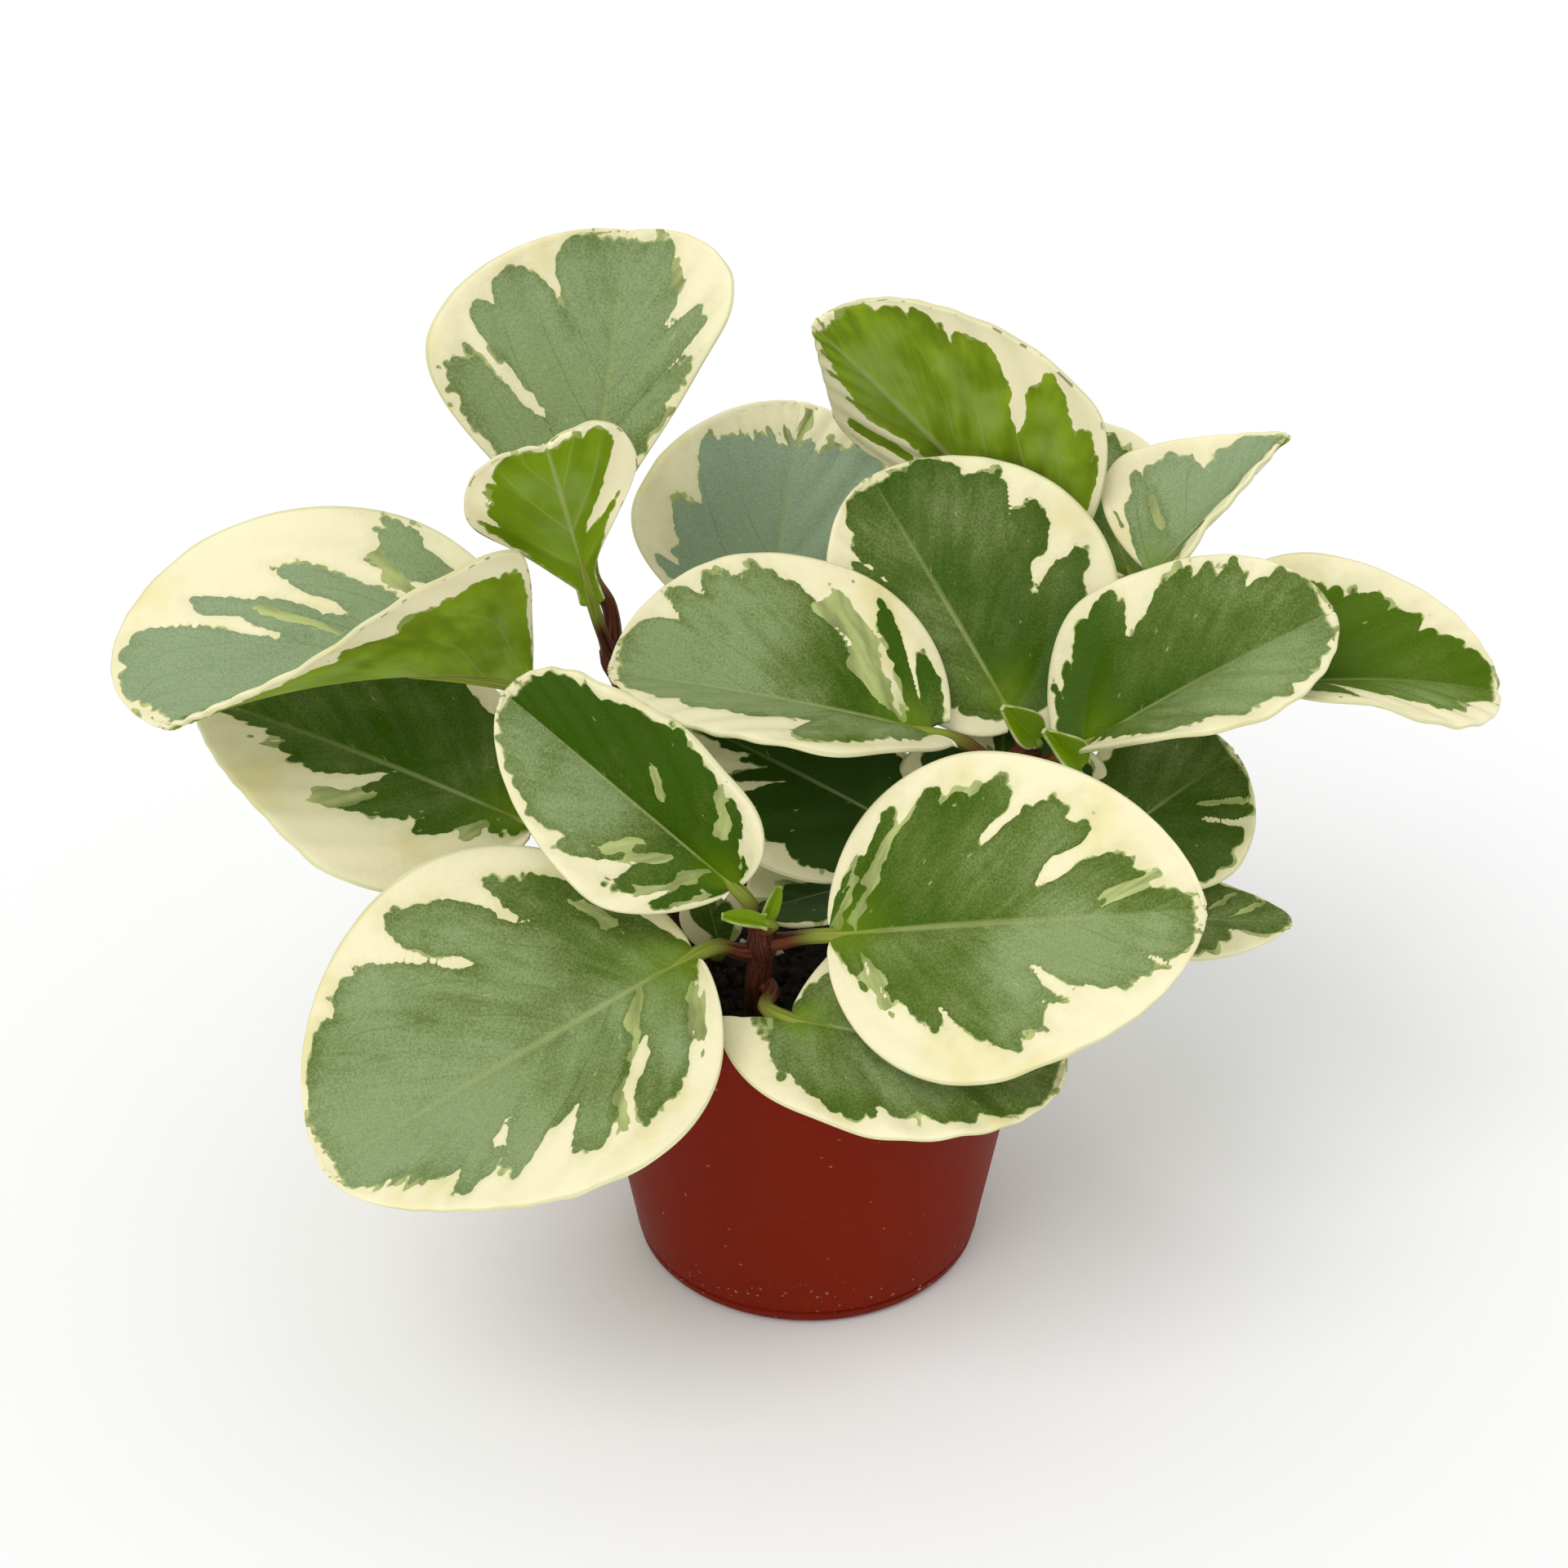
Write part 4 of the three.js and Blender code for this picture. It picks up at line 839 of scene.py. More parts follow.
def note_markings(leaf, mesh):
    """Keeps what the leaf materials read, for each corner of the blade."""
    u, v = read_attribute(mesh, "lengthways"), read_attribute(mesh, "sideways")
    vein = vein_of(leaf, u, v)
    green, half_green = green_depth(leaf, u, v, vein)
    attribute(mesh, "green", green)
    attribute(mesh, "half_green", half_green)
    bases, tips = leaf["bloom_and_sheen"][::2], leaf["bloom_and_sheen"][1::2]
    base, tip = (np.where(v >= 0, left, right) for left, right in (bases, tips))
    attribute(mesh, "bloom_and_sheen", base + (tip - base) * step(u, 0.1, 0.7))
    narrow = np.clip(half_width(leaf, u, v) / 16, 0, 1)
    attribute(mesh, "ease", narrow * size_of(leaf) * (1 - 0.75 * step(u, 0.8, 0.96)))
    attribute(mesh, "fresh_or_shade", np.full(len(u), float(leaf["fresh_or_shade"])))
    layer = mesh.uv_layers.new(name="veins")
    corner = np.zeros(len(mesh.loops), np.int32)
    mesh.loops.foreach_get("vertex_index", corner)
    spread = np.stack([vein * chord_of(leaf), v * half_value(leaf, "half", v)], 1)
    pairs = spread[corner] * MILLIMETRE * 10
    layer.data.foreach_set("uv", pairs.astype(np.float32).ravel())


def blade(leaf, settings, materials, rng):
    nothing_selected()
    bpy.ops.mesh.primitive_grid_add(
        x_subdivisions=leaf["rows"], y_subdivisions=leaf["columns"], size=2)
    piece = bpy.context.object
    flat = coordinates(piece.data)
    u = (1 - np.cos(math.pi * (flat[:, 0] + 1) / 2)) / 2
    v = np.sign(flat[:, 1]) * np.abs(flat[:, 1]) ** 1.25
    height = relief(leaf, settings, u, v, rng)[:, None]
    place(piece.data, (blade_points(leaf, u, v) + blade_normals(leaf, u, v) * height) * MILLIMETRE)
    attribute(piece.data, "lengthways", u)
    attribute(piece.data, "sideways", v)
    for material in materials:
        piece.data.materials.append(material)
    wall = piece.modifiers.new("Blade", "SOLIDIFY")
    wall.thickness = settings.thickness * (1 if leaf["stalk"] == 1 else 0.75)
    wall.offset = 0
    wall.use_even_offset = False
    wall.material_offset = 1
    finer = piece.modifiers.new("Finer", "SUBSURF")
    finer.levels = finer.render_levels = 1
    apply_all(piece)
    note_markings(leaf, piece.data)
    return piece


def stalk(leaf, material):
    """The stalk, from inside its stem to where it sinks into the midrib under the blade."""
    start, base = np.array(leaf["start"], float), np.array(leaf["base"], float)
    straight = (base - start) * 0.35
    reach = np.linalg.norm(straight)
    leave = unit(np.array(leaf["leave"], float))
    approach = unit(blade_points(leaf, np.array([0.06]), np.array([0.0]))[0] - base)
    shares = np.array([0.0, 0.05, 0.12, 0.22, 0.34])
    sunk = leaf["stalk"] * np.array([0.7, 1.35, 1.2, 0.95, 0.5])[:, None]
    middle = np.zeros(len(shares))
    rib = blade_points(leaf, shares, middle) - blade_normals(leaf, shares, middle) * sunk
    root = start - leave * (0.3 + 2.2 * max(leave[2], 0) ** 2)
    path = smooth_path([root, start + 0.5 * (leave * max(reach, 4.2) + straight),
                        base - 0.5 * (approach * reach + straight), *rib], STALK_STEPS)
    done = np.linspace(0, 1, len(path))
    to_base = np.linalg.norm(path - base, axis=1).argmin() / (len(path) - 1)
    flare = 1.85 + 0.7 * np.clip(1 - done / 0.2, 0, 1)
    taper = 1 - 0.68 * np.clip((done - to_base) / (1 - to_base), 0, 1)
    piece = tube(path, leaf["stalk"] * flare * taper, resolution=2)
    along = read_attribute(piece.data, "along")
    attribute(piece.data, "along", np.clip(along / max(to_base, 0.1), 0, 1) * 0.98)
    piece.data.materials.append(material)
    smooth(piece, 80)
    return piece


# Materials

class Paint:
    """Builds one material. Each method adds a node and gives its output."""

    def __init__(self, name):
        self.material = bpy.data.materials.new(name)
        self.material.use_nodes = True
        self.nodes = self.material.node_tree.nodes
        self.links = self.material.node_tree.links
        self.nodes.clear()
        self.shader = self.nodes.new("ShaderNodeBsdfPrincipled")
        output = self.nodes.new("ShaderNodeOutputMaterial")
        self.links.new(self.shader.outputs[0], output.inputs[0])
        self.place = self.node("TexCoord", "Object", {})

    def put(self, socket, value):
        if isinstance(value, bpy.types.NodeSocket):
            self.links.new(value, socket)
        elif hasattr(value, "__len__") and len(socket.default_value) == 4:
            socket.default_value = (*value, 1)
        else:
            socket.default_value = value

    def node(self, kind, output, inputs, **fields):
        node = self.nodes.new("ShaderNode" + kind)
        for name, value in fields.items():
            setattr(node, name, value)
        for name, value in inputs.items():
            self.put(node.inputs[name], value)
        return node.outputs[output]

    def attribute(self, name, output="Fac"):
        return self.node("Attribute", output, {}, attribute_name=name)

    def uv(self, name):
        return self.node("UVMap", 0, {}, uv_map=name)

    def scaled(self, vector, scale, shift=(0, 0, 0)):
        return self.node("Mapping", 0, {"Vector": vector, "Scale": scale, "Location": shift})

    def noise(self, vector, scale, detail=3.0, roughness=0.55):
        return self.node("TexNoise", "Fac", {
            "Vector": vector, "Scale": scale, "Detail": detail, "Roughness": roughness})

    def cells(self, vector, scale):
        return self.node("TexVoronoi", "Distance", {"Vector": vector, "Scale": scale})

    def axis(self, vector, name):
        return self.node("SeparateXYZ", name, {0: vector})

    def math(self, operation, *values):
        return self.node("Math", 0, dict(enumerate(values)), operation=operation)

    def add(self, first, second):
        return self.math("ADD", first, second)

    def times(self, first, second):
        return self.math("MULTIPLY", first, second)

    def wander(self, noise, amount):
        """Noise round 0, as wide as the amount."""
        return self.math("MULTIPLY_ADD", noise, amount, -amount / 2)

    def ramp(self, value, low, high, to_low=0.0, to_high=1.0):
        return self.node("MapRange", 0, {
            "Value": value, "From Min": low, "From Max": high, "To Min": to_low,
            "To Max": to_high}, interpolation_type="SMOOTHSTEP")

    def mix(self, share, first, second, blend="MIX"):
        """Mixes two colours: they are the node's inputs 6 and 7 and its output 2."""
        return self.node("Mix", 2, {0: share, 6: first, 7: second}, data_type="RGBA",
                         blend_type=blend)

    def shades(self, share, colour, dark, light):
        """The colour, darker where the share is 0 and lighter where it is 1."""
        return self.mix(share, shade(colour, dark), shade(colour, light))

    def bump(self, height, strength, distance, before=None):
        inputs = {"Height": height, "Strength": strength, "Distance": distance}
        if before is not None:
            inputs["Normal"] = before
        return self.node("Bump", 0, inputs)

    def finish(self, colour, roughness, normal=None, specular=0.5):
        self.put(self.shader.inputs["Base Color"], colour)
        self.put(self.shader.inputs["Roughness"], roughness)
        self.put(self.shader.inputs["Specular IOR Level"], specular)
        if normal is not None:
            self.put(self.shader.inputs["Normal"], normal)
        return self.material


def shade(colour, factor):
    return tuple(min(1.0, channel * factor) for channel in colour)


def leaf_areas(paint):
    """Masks of the green and half-green areas, with lobed edges that follow the veins."""
    veins = paint.uv("veins")
    fingers = paint.cells(paint.scaled(veins, (26, 9, 1)), 1.0)
    scallops = paint.cells(paint.place, 340)
    fine = paint.noise(paint.place, 1300, 2.0)
    broad = paint.noise(paint.scaled(veins, (16, 5, 1)), 1.0, 1.0)
    shift = paint.math("MULTIPLY_ADD", fingers, -4.2, 1.4)
    shift = paint.add(shift, paint.math("MULTIPLY_ADD", scallops, -3.0, 1.25))
    shift = paint.add(shift, paint.wander(fine, 0.7))
    shift = paint.times(shift, paint.attribute("ease"))
    green = paint.add(paint.attribute("green"), shift)
    half = paint.add(paint.attribute("half_green"), shift)
    half = paint.add(half, paint.ramp(broad, 0.52, 0.75, 0.0, 2.2))
    patch = paint.ramp(green, -0.16, 0.16)
    soft = paint.ramp(half, -0.2, 0.2)
    fringe = paint.ramp(paint.math("MULTIPLY_ADD", broad, 3.0, green), 1.2, 1.5)
    return veins, green, patch, soft, fringe


def vein_lines(paint, veins, settings):
    """Thin lines along the side veins."""
    along, out = paint.axis(veins, "X"), paint.axis(veins, "Y")
    arc = paint.times(paint.times(out, out), -100 * VEIN_ARC)
    beat = paint.math("MULTIPLY_ADD", paint.add(along, arc), 0.1 / settings.vein_gap, 0.25)
    stray = paint.noise(paint.scaled(veins, (9, 5, 1)), 1.0, 1.0)
    beat = paint.math("MULTIPLY_ADD", stray, 0.5, beat)
    off = paint.math("ABSOLUTE", paint.math("SUBTRACT", paint.math("FRACT", beat), 0.5))
    across = paint.math("ABSOLUTE", paint.attribute("sideways"))
    line = paint.ramp(off, 0.012, 0.04, 1.0, 0.0)
    line = paint.times(line, paint.ramp(across, 0.45, 0.85, 1.0, 0.0))
    return paint.times(line, paint.ramp(paint.noise(paint.place, 30, 1.0), 0.4, 0.6))


def upper_material(settings):
    paint = Paint("Leaf upper")
    veins, green, patch, soft, fringe = leaf_areas(paint)
    grain = paint.noise(paint.place, 1900, 2.0, 0.6)
    cloud = paint.noise(paint.place, 38)
    tone = paint.noise(paint.scaled(veins, (30, 6, 1)), 1.0)

    # Grey on the green, partly waxy bloom and partly painted sheen: cloudy, streaked along
    # the veins, thin near the margin, and grainy.
    bloom_and_sheen = paint.add(paint.attribute("bloom_and_sheen"), paint.wander(cloud, 1.9))
    bloom_and_sheen = paint.add(bloom_and_sheen, paint.wander(tone, 0.7))
    bloom_and_sheen = paint.times(bloom_and_sheen, paint.ramp(green, 0.0, 6.0, 0.72, 1.0))
    bloom_and_sheen = paint.add(bloom_and_sheen, paint.wander(grain, 0.7))
    # Deep green through dusty green and grey to bluish grey: partly bloom, partly painted sheen.
    deep = paint.mix(paint.ramp(bloom_and_sheen, -0.1, 0.75), settings.green, settings.dusty_bloom_and_sheen)
    deep = paint.mix(paint.ramp(bloom_and_sheen, 0.4, 1.25), deep, settings.bloom_and_sheen)
    deep = paint.mix(paint.ramp(paint.attribute("bloom_and_sheen"), 1.1, 1.5), deep, settings.blue_bloom_and_sheen)
    deep = paint.mix(1, paint.shades(paint.ramp(grain, 0.35, 0.65), (1, 1, 1), 0.82, 1), deep,
                     "MULTIPLY")
    fresh_or_shade = paint.attribute("fresh_or_shade")
    deep = paint.mix(paint.ramp(fresh_or_shade, 0.0, 1.0), deep, settings.young)
    # Below 0 the green turns towards the shaded green: painted shade.
    deep = paint.mix(paint.ramp(fresh_or_shade, -1.0, 0.0, 0.85, 0.0), deep, settings.shaded)
    lines = paint.times(vein_lines(paint, veins, settings), 0.24)
    deep = paint.mix(lines, deep, shade(settings.green, 0.8))

    # Pale green sectors, flecks of it in the green, and cream margins.
    pale = paint.shades(paint.ramp(tone, 0.32, 0.68), settings.pale, 0.62, 1.3)
    flecks = paint.noise(paint.scaled(veins, (64, 34, 1), (3, 1, 0)), 1.0, 1.0)
    inner = paint.mix(paint.times(paint.ramp(flecks, 0.75, 0.78), 0.6), deep, pale)
    cream = paint.shades(cloud, settings.cream, 0.94, 1.05)
    cream = paint.mix(paint.ramp(cloud, 0.48, 0.3, 0.0, 0.6), cream, settings.butter)
    cream = paint.mix(paint.ramp(green, -5.0, 0.0, 0.0, 0.16), cream, settings.pale)
    area = paint.mix(soft, cream, pale)
    edge = paint.mix(fringe, paint.mix(0.55, pale, deep), inner)
    colour = paint.mix(patch, area, edge)

    # Midrib, the fresh green round its base, and the rim of the blade.
    across = paint.math("ABSOLUTE", paint.attribute("sideways"))
    lengthways = paint.attribute("lengthways")
    rib = paint.ramp(across, 0.008, 0.03, 1.0, 0.0)
    rib = paint.times(rib, paint.ramp(lengthways, 0.0, 0.9, 0.7, 0.15))
    colour = paint.mix(rib, colour, settings.pale)
    base = paint.ramp(lengthways, 0.0, 0.26, 0.65, 0.0)
    base = paint.times(base, paint.ramp(across, 0.05, 0.55, 1.0, 0.0))
    colour = paint.mix(base, colour, settings.young)
    rim = paint.times(paint.ramp(across, 0.975, 0.995), 0.35)
    colour = paint.mix(rim, colour, shade(settings.pale, 1.2))
    normal = paint.bump(grain, 0.45, 0.0003)
    normal = paint.bump(paint.cells(paint.place, 420), 0.3, 0.00025, normal)
    return paint.finish(colour, paint.ramp(grain, 0.2, 0.8, 0.34, 0.5), normal, specular=0.1)


def underside_material(settings):
    paint = Paint("Leaf underside")
    veins, green, patch, soft, fringe = leaf_areas(paint)
    grain = paint.noise(paint.place, 1200, 2.0)
    cloud = paint.noise(paint.place, 45)
    tone = paint.noise(paint.scaled(veins, (26, 7, 1)), 1.0)
    mottle = paint.ramp(paint.mix(0.7, tone, cloud), 0.36, 0.64)
    # Underside green, lightened with painted light shining through the leaf.
    deep = paint.shades(mottle, settings.under_green_and_glow, 0.7, 1.35)
    deep = paint.mix(paint.times(paint.attribute("fresh_or_shade"), 0.6), deep, settings.young)
    # Silvery patches in the grey bloom colour: partly bloom, partly painted sheen.
    silver = paint.times(paint.ramp(cloud, 0.44, 0.62), paint.ramp(green, 2.0, 9.0))
    deep = paint.mix(paint.times(silver, 0.3), deep, settings.bloom_and_sheen)
    lines = paint.times(vein_lines(paint, veins, settings), 0.3)
    deep = paint.mix(lines, deep, settings.pale)
    pale = paint.mix(0.45, settings.pale, settings.under_green_and_glow)
    # Cream a little lighter than on the upper side: painted light shining through the leaf.
    cream = paint.shades(cloud, settings.cream, 0.96, 1.08)
    area = paint.mix(soft, cream, pale)
    colour = paint.mix(patch, area, paint.mix(fringe, pale, deep))
    across = paint.math("ABSOLUTE", paint.attribute("sideways"))
    colour = paint.mix(paint.ramp(across, 0.01, 0.035, 0.6, 0.0), colour, settings.pale)
    dashes = paint.ramp(paint.noise(paint.place, 330, 0.0), 0.6, 0.66)
    dashes = paint.times(dashes, paint.ramp(across, 0.965, 0.985))
    colour = paint.mix(paint.times(dashes, 0.75), colour, (0.1, 0.09, 0.02))
    return paint.finish(colour, 0.5, paint.bump(grain, 0.3, 0.0002), specular=0.08)


def stalk_material(settings):
    paint = Paint("Leaf stalk")
    streaks = paint.noise(paint.attribute("grain", "Vector"), 3.2, 3.0, 0.6)
    along = paint.add(paint.attribute("along"), paint.wander(streaks, 0.5))
    red = paint.shades(paint.ramp(streaks, 0.38, 0.62), settings.red, 0.6, 2.6)
    green = paint.shades(paint.ramp(streaks, 0.35, 0.65), settings.stalk_green, 1, 0.55)
    colour = paint.mix(paint.ramp(along, 0.45, 0.9), red, green)
    return paint.finish(colour, 0.42, paint.bump(streaks, 0.3, 0.0002), specular=0.15)


def stem_material(settings):
    paint = Paint("Stem bark")
    streaks = paint.noise(paint.attribute("grain", "Vector"), 4.5, 4.0, 0.6)
    strong = paint.ramp(streaks, 0.35, 0.65)
    red = paint.shades(strong, settings.red, 0.5, 2)
    low = paint.shades(strong, settings.brown, 0.5, 2)
    colour = paint.mix(paint.ramp(paint.attribute("along"), 0.25, 0.75), low, red)
    spots = paint.ramp(paint.cells(paint.place, 520), 0.12, 0.2, 0.5, 0.0)
    colour = paint.mix(spots, colour, (0.16, 0.08, 0.04))
    return paint.finish(colour, 0.55, paint.bump(streaks, 0.6, 0.0004), specular=0.12)


def soil_material(settings):
    paint = Paint("Potting mix")
    lumps = paint.noise(paint.place, 260, 4.0)
    fibres = paint.noise(paint.scaled(paint.place, (900, 260, 900)), 1.0)
    colour = paint.shades(paint.ramp(lumps, 0.35, 0.7), settings.colour, 0.5, 2.2)
    colour = paint.mix(paint.ramp(fibres, 0.62, 0.72), colour, (0.1, 0.055, 0.025))
    return paint.finish(colour, 0.95, paint.bump(lumps, 0.8, 0.0012), specular=0.15)


def grit_material():
    paint = Paint("Perlite grit")
    lumps = paint.noise(paint.place, 700)
    colour = paint.mix(lumps, (0.32, 0.29, 0.24), (0.62, 0.58, 0.5))
    return paint.finish(colour, 0.9, paint.bump(lumps, 0.6, 0.0006))


def pot_material(settings):
    paint = Paint("Pot plastic")
    cloud = paint.noise(paint.place, 26)
    scuff = paint.noise(paint.scaled(paint.place, (150, 150, 480)), 1.0, 4.0, 0.65)
    height = paint.axis(paint.place, "Z")
    colour = paint.shades(cloud, settings.colour, 0.88, 1.12)
    specks = paint.ramp(paint.noise(paint.place, 700, 1.0), 0.7, 0.74)
    specks = paint.times(specks, paint.ramp(height, 0.003, 0.02, 1.0, 0.0))
    stray = paint.ramp(paint.noise(paint.place, 520, 0.5), 0.78, 0.81)
    specks = paint.math("MAXIMUM", specks, paint.times(stray, 0.5))
    colour = paint.mix(paint.times(specks, 0.75), colour, (0.42, 0.3, 0.22))
    worn = paint.times(paint.ramp(scuff, 0.55, 0.75), 0.22)
    colour = paint.mix(worn, colour, shade(settings.colour, 1.7))
    low = paint.times(paint.ramp(height, 0.0, 0.014, 1.0, 0.0), 0.6)
    dirt = paint.times(paint.ramp(scuff, 0.42, 0.3, 0.0, 1.0), low)
    colour = paint.mix(dirt, colour, shade(settings.colour, 0.3))
    normal = paint.bump(paint.noise(paint.place, 1400, 2.0), 0.18, 0.0002)
    normal = paint.bump(paint.noise(paint.place, 60, 2.0), 0.25, 0.0006, normal)
    return paint.finish(colour, paint.ramp(cloud, 0.3, 0.7, 0.4, 0.52), normal, specular=0.05)


# Operators

class PEPEROMIA_OT_pot(bpy.types.Operator):
    """Model the pot: wall, stepped lip, foot ring, drain holes and its plastic"""

    bl_idname = "peperomia.pot"
    bl_label = "Pot"

    def execute(self, context):
        settings = context.scene.peperomia_pot
        foot, mouth = settings.foot / 2 / MILLIMETRE, settings.mouth / 2 / MILLIMETRE
        height, wall = settings.height / MILLIMETRE, settings.wall / MILLIMETRE
        lip = height - LIP_DEPTH
        profile = [(0, 0), (12, 0), (12.4, 0.4), (13, 2), (foot - 9, 2), (foot - 8.4, 0.4),
                   (foot - 8, 0), (foot - 2.4, 0), (foot - 0.6, 0.3), (foot + 0.7, 1),
                   (foot + 1.5, 2), (foot + 1.8, 3.6), (foot + 1.2, 4.1), (foot + 1.25, 4.6),
                   (foot + 2.2, 5), (foot + 2.4, 6.5), (mouth - 1.8, lip), (mouth - 1.4, lip + 0.1),
                   (mouth - 0.3, lip + 0.3), (mouth, lip + 0.8), (mouth, height - 1.2),
                   (mouth - 0.4, height - 0.3), (mouth - 1, height), (mouth - 2.4, height),
                   (mouth - 1.8 - wall, height - 0.5), (mouth - 1.8 - wall, lip),
                   (foot + 1.95 - wall, 6.5), (foot - 1 - wall, 3.6), (0, 3.5)]
        nothing_selected()
        bpy.ops.mesh.primitive_plane_add(size=MILLIMETRE)
        piece = bpy.context.object
        bpy.ops.object.mode_set(mode="EDIT")
        bpy.ops.mesh.merge(type="CENTER")
        for (near, low), (far, high) in zip(profile, profile[1:]):
            bpy.ops.mesh.extrude_region_move(TRANSFORM_OT_translate={
                "value": ((far - near) * MILLIMETRE, 0, (high - low) * MILLIMETRE)})
        bpy.ops.mesh.select_all(action="SELECT")
        bpy.ops.mesh.spin(steps=144, angle=2 * math.pi, center=(0, 0, 0), axis=(0, 0, 1))
        close_shell(0.02 * MILLIMETRE)
        drills = []
        for turn in np.arange(DRAIN_HOLES) * 2 * math.pi / DRAIN_HOLES:
            nothing_selected()
            bpy.ops.mesh.primitive_cylinder_add(
                vertices=32, radius=DRAIN_RADIUS, depth=0.02,
                location=(DRAIN_CIRCLE * math.cos(turn), DRAIN_CIRCLE * math.sin(turn), 0))
            drills.append(bpy.context.object)
        drill = join(drills)
        bpy.ops.object.transform_apply(location=True, rotation=True, scale=True)
        cut = piece.modifiers.new("Drain holes", "BOOLEAN")
        cut.operation = "DIFFERENCE"
        cut.object = drill
        cut.solver = "EXACT"
        apply_all(piece)
        bpy.data.objects.remove(drill)
        piece.data.materials.append(pot_material(settings))
        smooth(piece, 32)
        hand_over(piece, "nursery_pot", "pot")
        return {"FINISHED"}


def soil_height(away):
    """Height of the soil at a share of the way from its middle to the wall."""
    return SOIL_HEIGHT + SOIL_RISE * (1 - away ** 2)


def soil_body(radius, reach):
    """The packed soil: a crowned, lumpy surface over a block that narrows downwards."""
    nothing_selected()
    bpy.ops.mesh.primitive_circle_add(vertices=96, radius=radius, fill_type="NGON")
    piece = bpy.context.object
    bpy.ops.object.mode_set(mode="EDIT")
    for _ in range(SOIL_RINGS):
        bpy.ops.mesh.inset(thickness=radius * SOIL_RING)
    bpy.ops.mesh.poke()
    bpy.ops.mesh.select_all(action="SELECT")
    bpy.ops.mesh.subdivide(number_cuts=1)
    bpy.ops.object.mode_set(mode="OBJECT")
    points = coordinates(piece.data)
    lumps = sum(np.sin(points[:, 0] * scale + turn) * np.cos(points[:, 1] * scale * 1.3 - turn)
                for scale, turn in ((160, 0.4), (310, 1.7), (620, 3.1)))
    away = np.linalg.norm(points[:, :2], axis=1) / reach
    points[:, 2] = soil_height(away) + LUMP_HEIGHT * lumps
    place(piece.data, points)
    bpy.ops.object.mode_set(mode="EDIT")
    bpy.ops.mesh.select_all(action="SELECT")
    bpy.ops.mesh.region_to_loop()
    for depth, taper in ((0.03, 0.925), (0.03, 0.918), (0.0175, 0.94)):
        bpy.ops.mesh.extrude_region_move(TRANSFORM_OT_translate={"value": (0, 0, -depth)})
        bpy.ops.transform.resize(value=(taper, taper, 1), center_override=(0, 0, 0))
    bpy.ops.mesh.edge_face_add()
    close_shell()
    return piece


def soil_crumbs(settings, reach, materials):
    """Loose crumbs and grit: one lumpy ball, stretched and turned for each, clear of the stems."""
    rng = np.random.default_rng(SEED)
    nothing_selected()
    bpy.ops.mesh.primitive_ico_sphere_add(subdivisions=2, radius=0.5)
    pattern = bpy.context.object
    shape = coordinates(pattern.data)
    triangles = np.array([tuple(face.vertices) for face in pattern.data.polygons])
    bpy.data.objects.remove(pattern)
    stems = np.array([stem["points"][1][:2] for stem in STEMS]) * MILLIMETRE
    points, faces, slots = [], [], []
    for _ in range(settings.crumbs):
        turn = rng.uniform(0, 2 * math.pi)
        away = 0.97 * math.sqrt(rng.uniform())
        middle = np.array([reach * away * math.cos(turn), reach * away * math.sin(turn),
                           soil_height(away)])
        if np.linalg.norm(middle[:2] - stems, axis=1).min() < CRUMB_GAP:
            continue
        grit = rng.uniform() < GRIT_SHARE
        size = settings.crumb * rng.uniform(0.5, 1.5) * (0.8 if grit else 1)
        stretch = rng.uniform(0.5, 1.2, 3) * size
        spin = np.linalg.qr(rng.normal(size=(3, 3)))[0]
        if np.linalg.det(spin) < 0:
            spin[:, 0] *= -1
        lumpy = shape * (1 + rng.uniform(-0.22, 0.22, (len(shape), 1)))
        faces.append(triangles + len(points) * len(shape))
        points.append((lumpy * stretch) @ spin.T + middle + [0, 0, size * 0.12])
        slots += [int(grit)] * len(triangles)
    mesh = bpy.data.meshes.new("crumbs")
    mesh.from_pydata(np.vstack(points).tolist(), [], np.vstack(faces).tolist())
    for material in materials:
        mesh.materials.append(material)
    mesh.polygons.foreach_set("material_index", slots)
    loose = bpy.data.objects.new("crumbs", mesh)
    bpy.context.collection.objects.link(loose)
    return loose


class PEPEROMIA_OT_soil(bpy.types.Operator):
    """Model the soil: an uneven crowned surface with crumbs and grit on it"""

    bl_idname = "peperomia.soil"
    bl_label = "Soil"

    def execute(self, context):
        settings = context.scene.peperomia_soil
        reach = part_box("soil")[1].x
        materials = [soil_material(settings), grit_material()]
        body = soil_body(reach - SOIL_GAP, reach)
        for material in materials:
            body.data.materials.append(material)
        piece = join([body, soil_crumbs(settings, reach, materials)])
        smooth(piece, 40)
        hand_over(piece, "potting_soil", "soil")
        return {"FINISHED"}


def ridges(done, places, length, height, width):
    """Rings round a stem, as a factor on its radius. Their width and its length are millimetres."""
    return np.prod([1 + height * np.exp(-((done - place) * length / width) ** 2)
                    for place in places], axis=0)


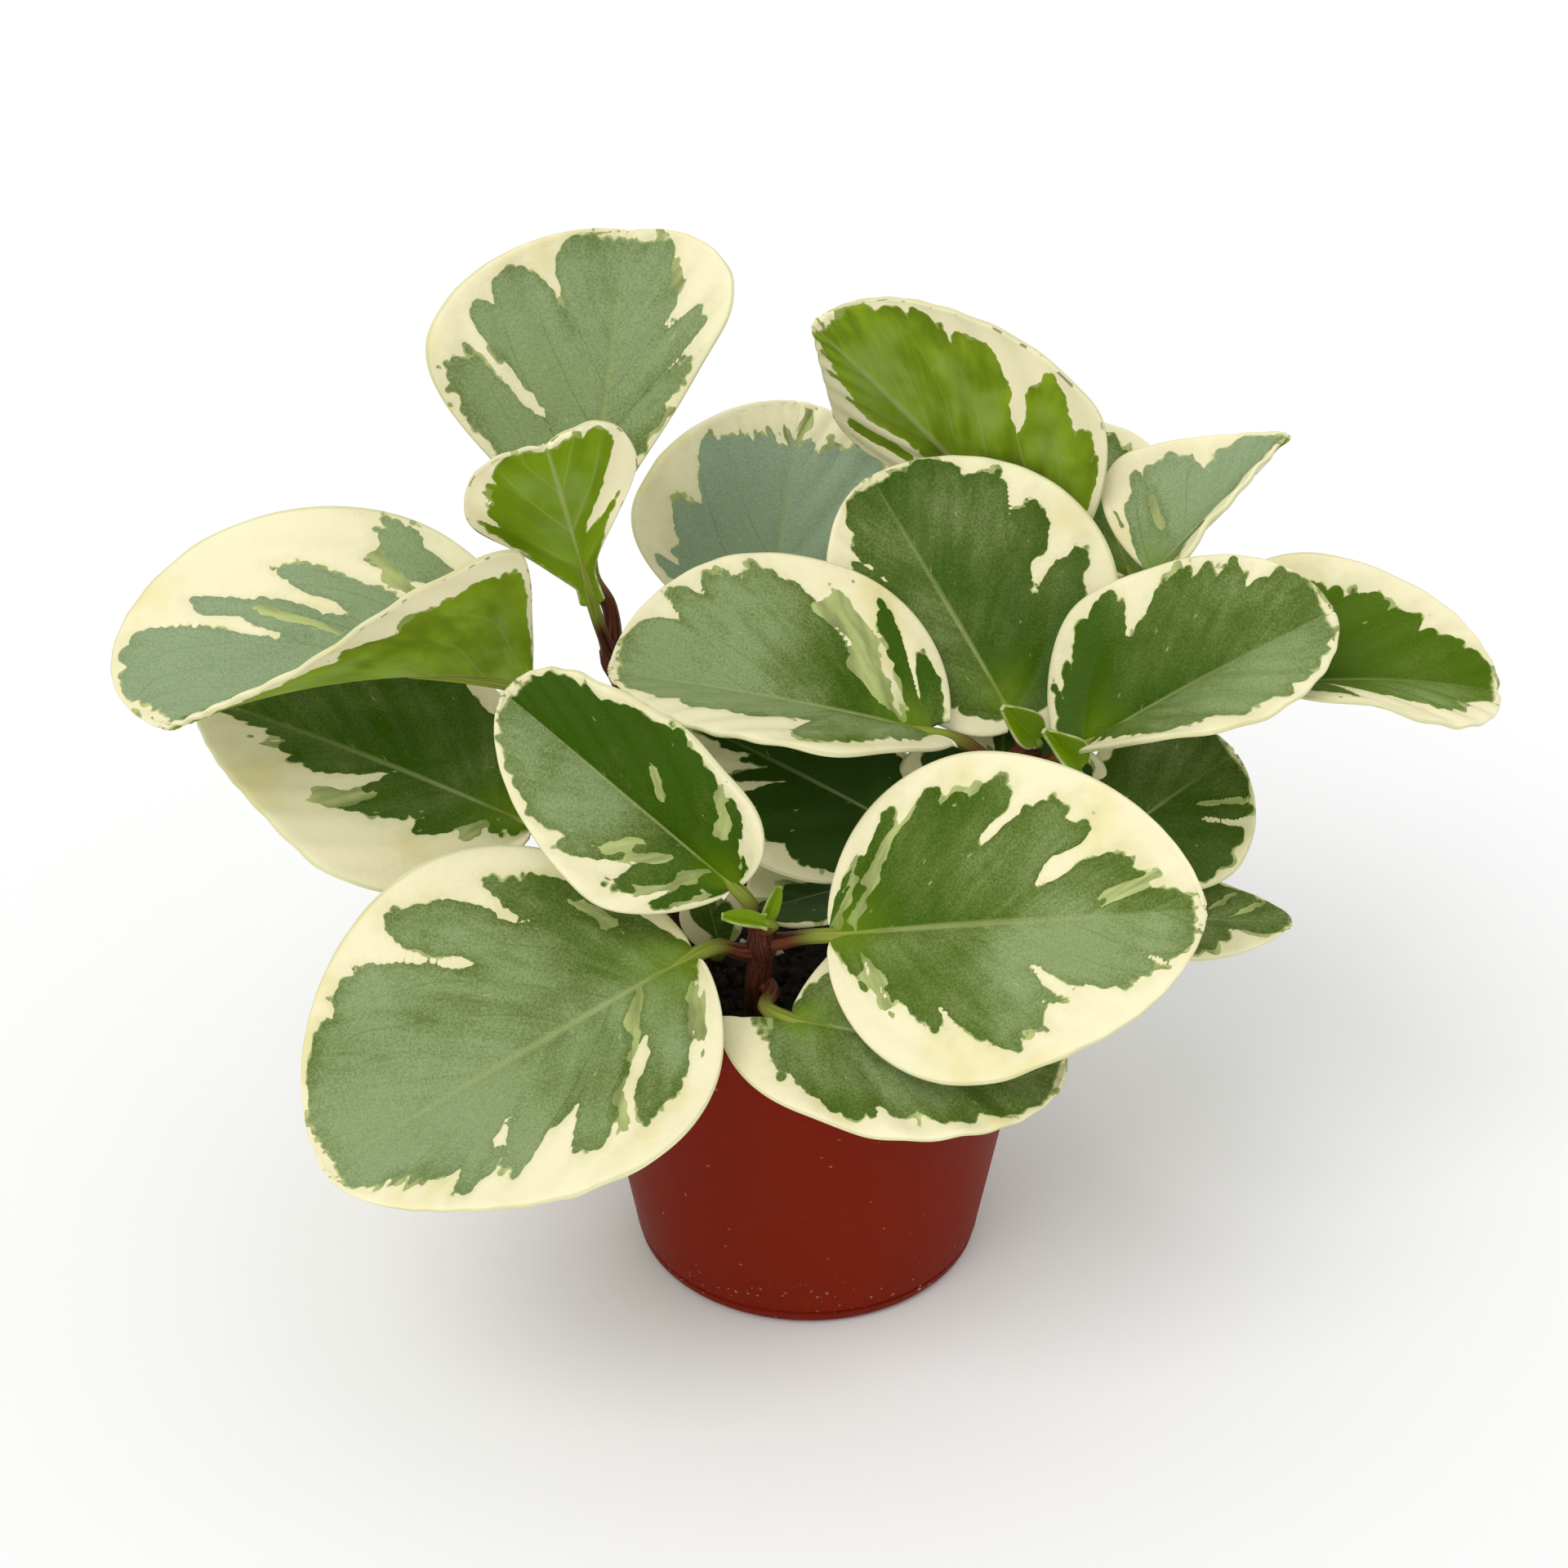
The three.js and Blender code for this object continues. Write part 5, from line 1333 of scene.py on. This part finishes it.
class PEPEROMIA_OT_stems(bpy.types.Operator):
    """Model the stems with their swollen joints, leaf scars and bark"""

    bl_idname = "peperomia.stems"
    bl_label = "Stems"

    def execute(self, context):
        settings = context.scene.peperomia_stems
        bark = stem_material(settings)
        rng = np.random.default_rng(SEED)
        done = np.linspace(0, 1, STEM_STEPS)
        for stem in STEMS:
            path = smooth_path(stem["points"], STEM_STEPS)
            length = np.linalg.norm(np.diff(path, axis=0), axis=1).sum()
            scars = [place for place in np.arange(0.22, 0.9, SCAR_GAP / length)
                     if min(abs(place - joint) for joint in stem["joints"]) > 0.08]
            radii = stem["radius"] * (1.05 - 0.15 * done)
            radii = radii * ridges(done, stem["joints"], length, height=settings.swell - 1, width=3)
            radii = radii * ridges(done, scars, length, height=0.1, width=1.2)
            radii = radii * (1 + 0.03 * np.sin(done * 23 + rng.uniform(0, 6)))
            radii = radii * np.minimum(1, 0.55 + ((1 - done) * length / stem["radius"]) ** 0.6)
            piece = tube(path, radii, resolution=5)
            piece.data.materials.append(bark)
            smooth(piece, 80)
            hand_over(piece, stem["name"] + "_bark", stem["name"])
        return {"FINISHED"}


class PEPEROMIA_OT_leaves(bpy.types.Operator):
    """Model the leaves: blades with grooved ribs, wavy margins and stalks, and their markings"""

    bl_idname = "peperomia.leaves"
    bl_label = "Leaves"

    def execute(self, context):
        settings = context.scene.peperomia_leaves
        sides = [upper_material(settings), underside_material(settings)]
        red = stalk_material(context.scene.peperomia_stems)
        for index, entry in enumerate(LEAVES):
            rng = np.random.default_rng(SEED + index)
            marks = MARKINGS.get(entry["name"]) or usual_markings(rng)
            leaf = {**USUAL_LEAF, **entry, **marks}
            parts = [blade(leaf, settings, sides, rng), stalk(leaf, red)]
            if "twin" in leaf:
                parts.append(blade({**leaf, **leaf["twin"]}, settings, sides, rng))
            piece = join(parts)
            smooth(piece, 70)
            hand_over(piece, leaf["name"] + "_blade", leaf["name"])
        return {"FINISHED"}


class PEPEROMIA_OT_stage(bpy.types.Operator):
    """Set the pale floor, the soft lights and the camera"""

    bl_idname = "peperomia.stage"
    bl_label = "Stage"

    def execute(self, context):
        settings = context.scene.peperomia_stage
        nothing_selected()
        bpy.ops.mesh.primitive_plane_add(size=FLOOR_SIZE)
        floor = bpy.context.object
        floor.name = "floor"
        tone = (settings.floor_tone,) * 3
        floor.data.materials.append(Paint("Pale floor").finish(tone, 0.9))

        world = context.scene.world or bpy.data.worlds.new("Studio")
        context.scene.world = world
        world.use_nodes = True
        background = world.node_tree.nodes.get("Background")
        background.inputs["Color"].default_value = (1, 1, 1, 1)
        background.inputs["Strength"].default_value = settings.room_light
        bpy.ops.object.light_add(type="SUN", location=KEY_PLACE, rotation=KEY_TURN)
        light = bpy.context.object
        light.name = "Key"
        light.data.energy = settings.key_light
        light.data.angle = KEY_SPREAD
        context.scene.view_settings.view_transform = "Standard"
        bpy.ops.object.camera_add(location=CAMERA_PLACE, rotation=(CAMERA_TILT, 0, 0))
        camera = bpy.context.object
        camera.data.sensor_width = CAMERA_SENSOR
        camera.data.lens = CAMERA_LENS
        camera.data.dof.use_dof = False
        context.scene.camera = camera
        return {"FINISHED"}


class PEPEROMIA_PT_panel(bpy.types.Panel):
    """Lists the steps that build the plant"""

    bl_idname = "PEPEROMIA_PT_panel"
    bl_label = "Potted peperomia"
    bl_space_type = "VIEW_3D"
    bl_region_type = "UI"
    bl_category = "Peperomia"

    def draw(self, context):
        for name, group, operator in GROUPS:
            box = self.layout.box()
            for field in group.__annotations__:
                box.prop(getattr(context.scene, name), field)
            box.operator(operator.bl_idname)


GROUPS = (
    ("peperomia_pot", PotSettings, PEPEROMIA_OT_pot),
    ("peperomia_soil", SoilSettings, PEPEROMIA_OT_soil),
    ("peperomia_stems", StemSettings, PEPEROMIA_OT_stems),
    ("peperomia_leaves", LeafSettings, PEPEROMIA_OT_leaves),
    ("peperomia_stage", StageSettings, PEPEROMIA_OT_stage),
)


def register():
    for name, group, operator in GROUPS:
        bpy.utils.register_class(group)
        setattr(bpy.types.Scene, name, bpy.props.PointerProperty(type=group))
        bpy.utils.register_class(operator)
    bpy.utils.register_class(PEPEROMIA_PT_panel)


def unregister():
    bpy.utils.unregister_class(PEPEROMIA_PT_panel)
    for name, group, operator in reversed(GROUPS):
        bpy.utils.unregister_class(operator)
        delattr(bpy.types.Scene, name)
        bpy.utils.unregister_class(group)


def main():
    register()
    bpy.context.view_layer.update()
    bpy.ops.peperomia.pot()
    bpy.ops.peperomia.soil()
    bpy.ops.peperomia.stems()
    bpy.ops.peperomia.leaves()
    bpy.ops.peperomia.stage()


if __name__ == "__main__":
    main()
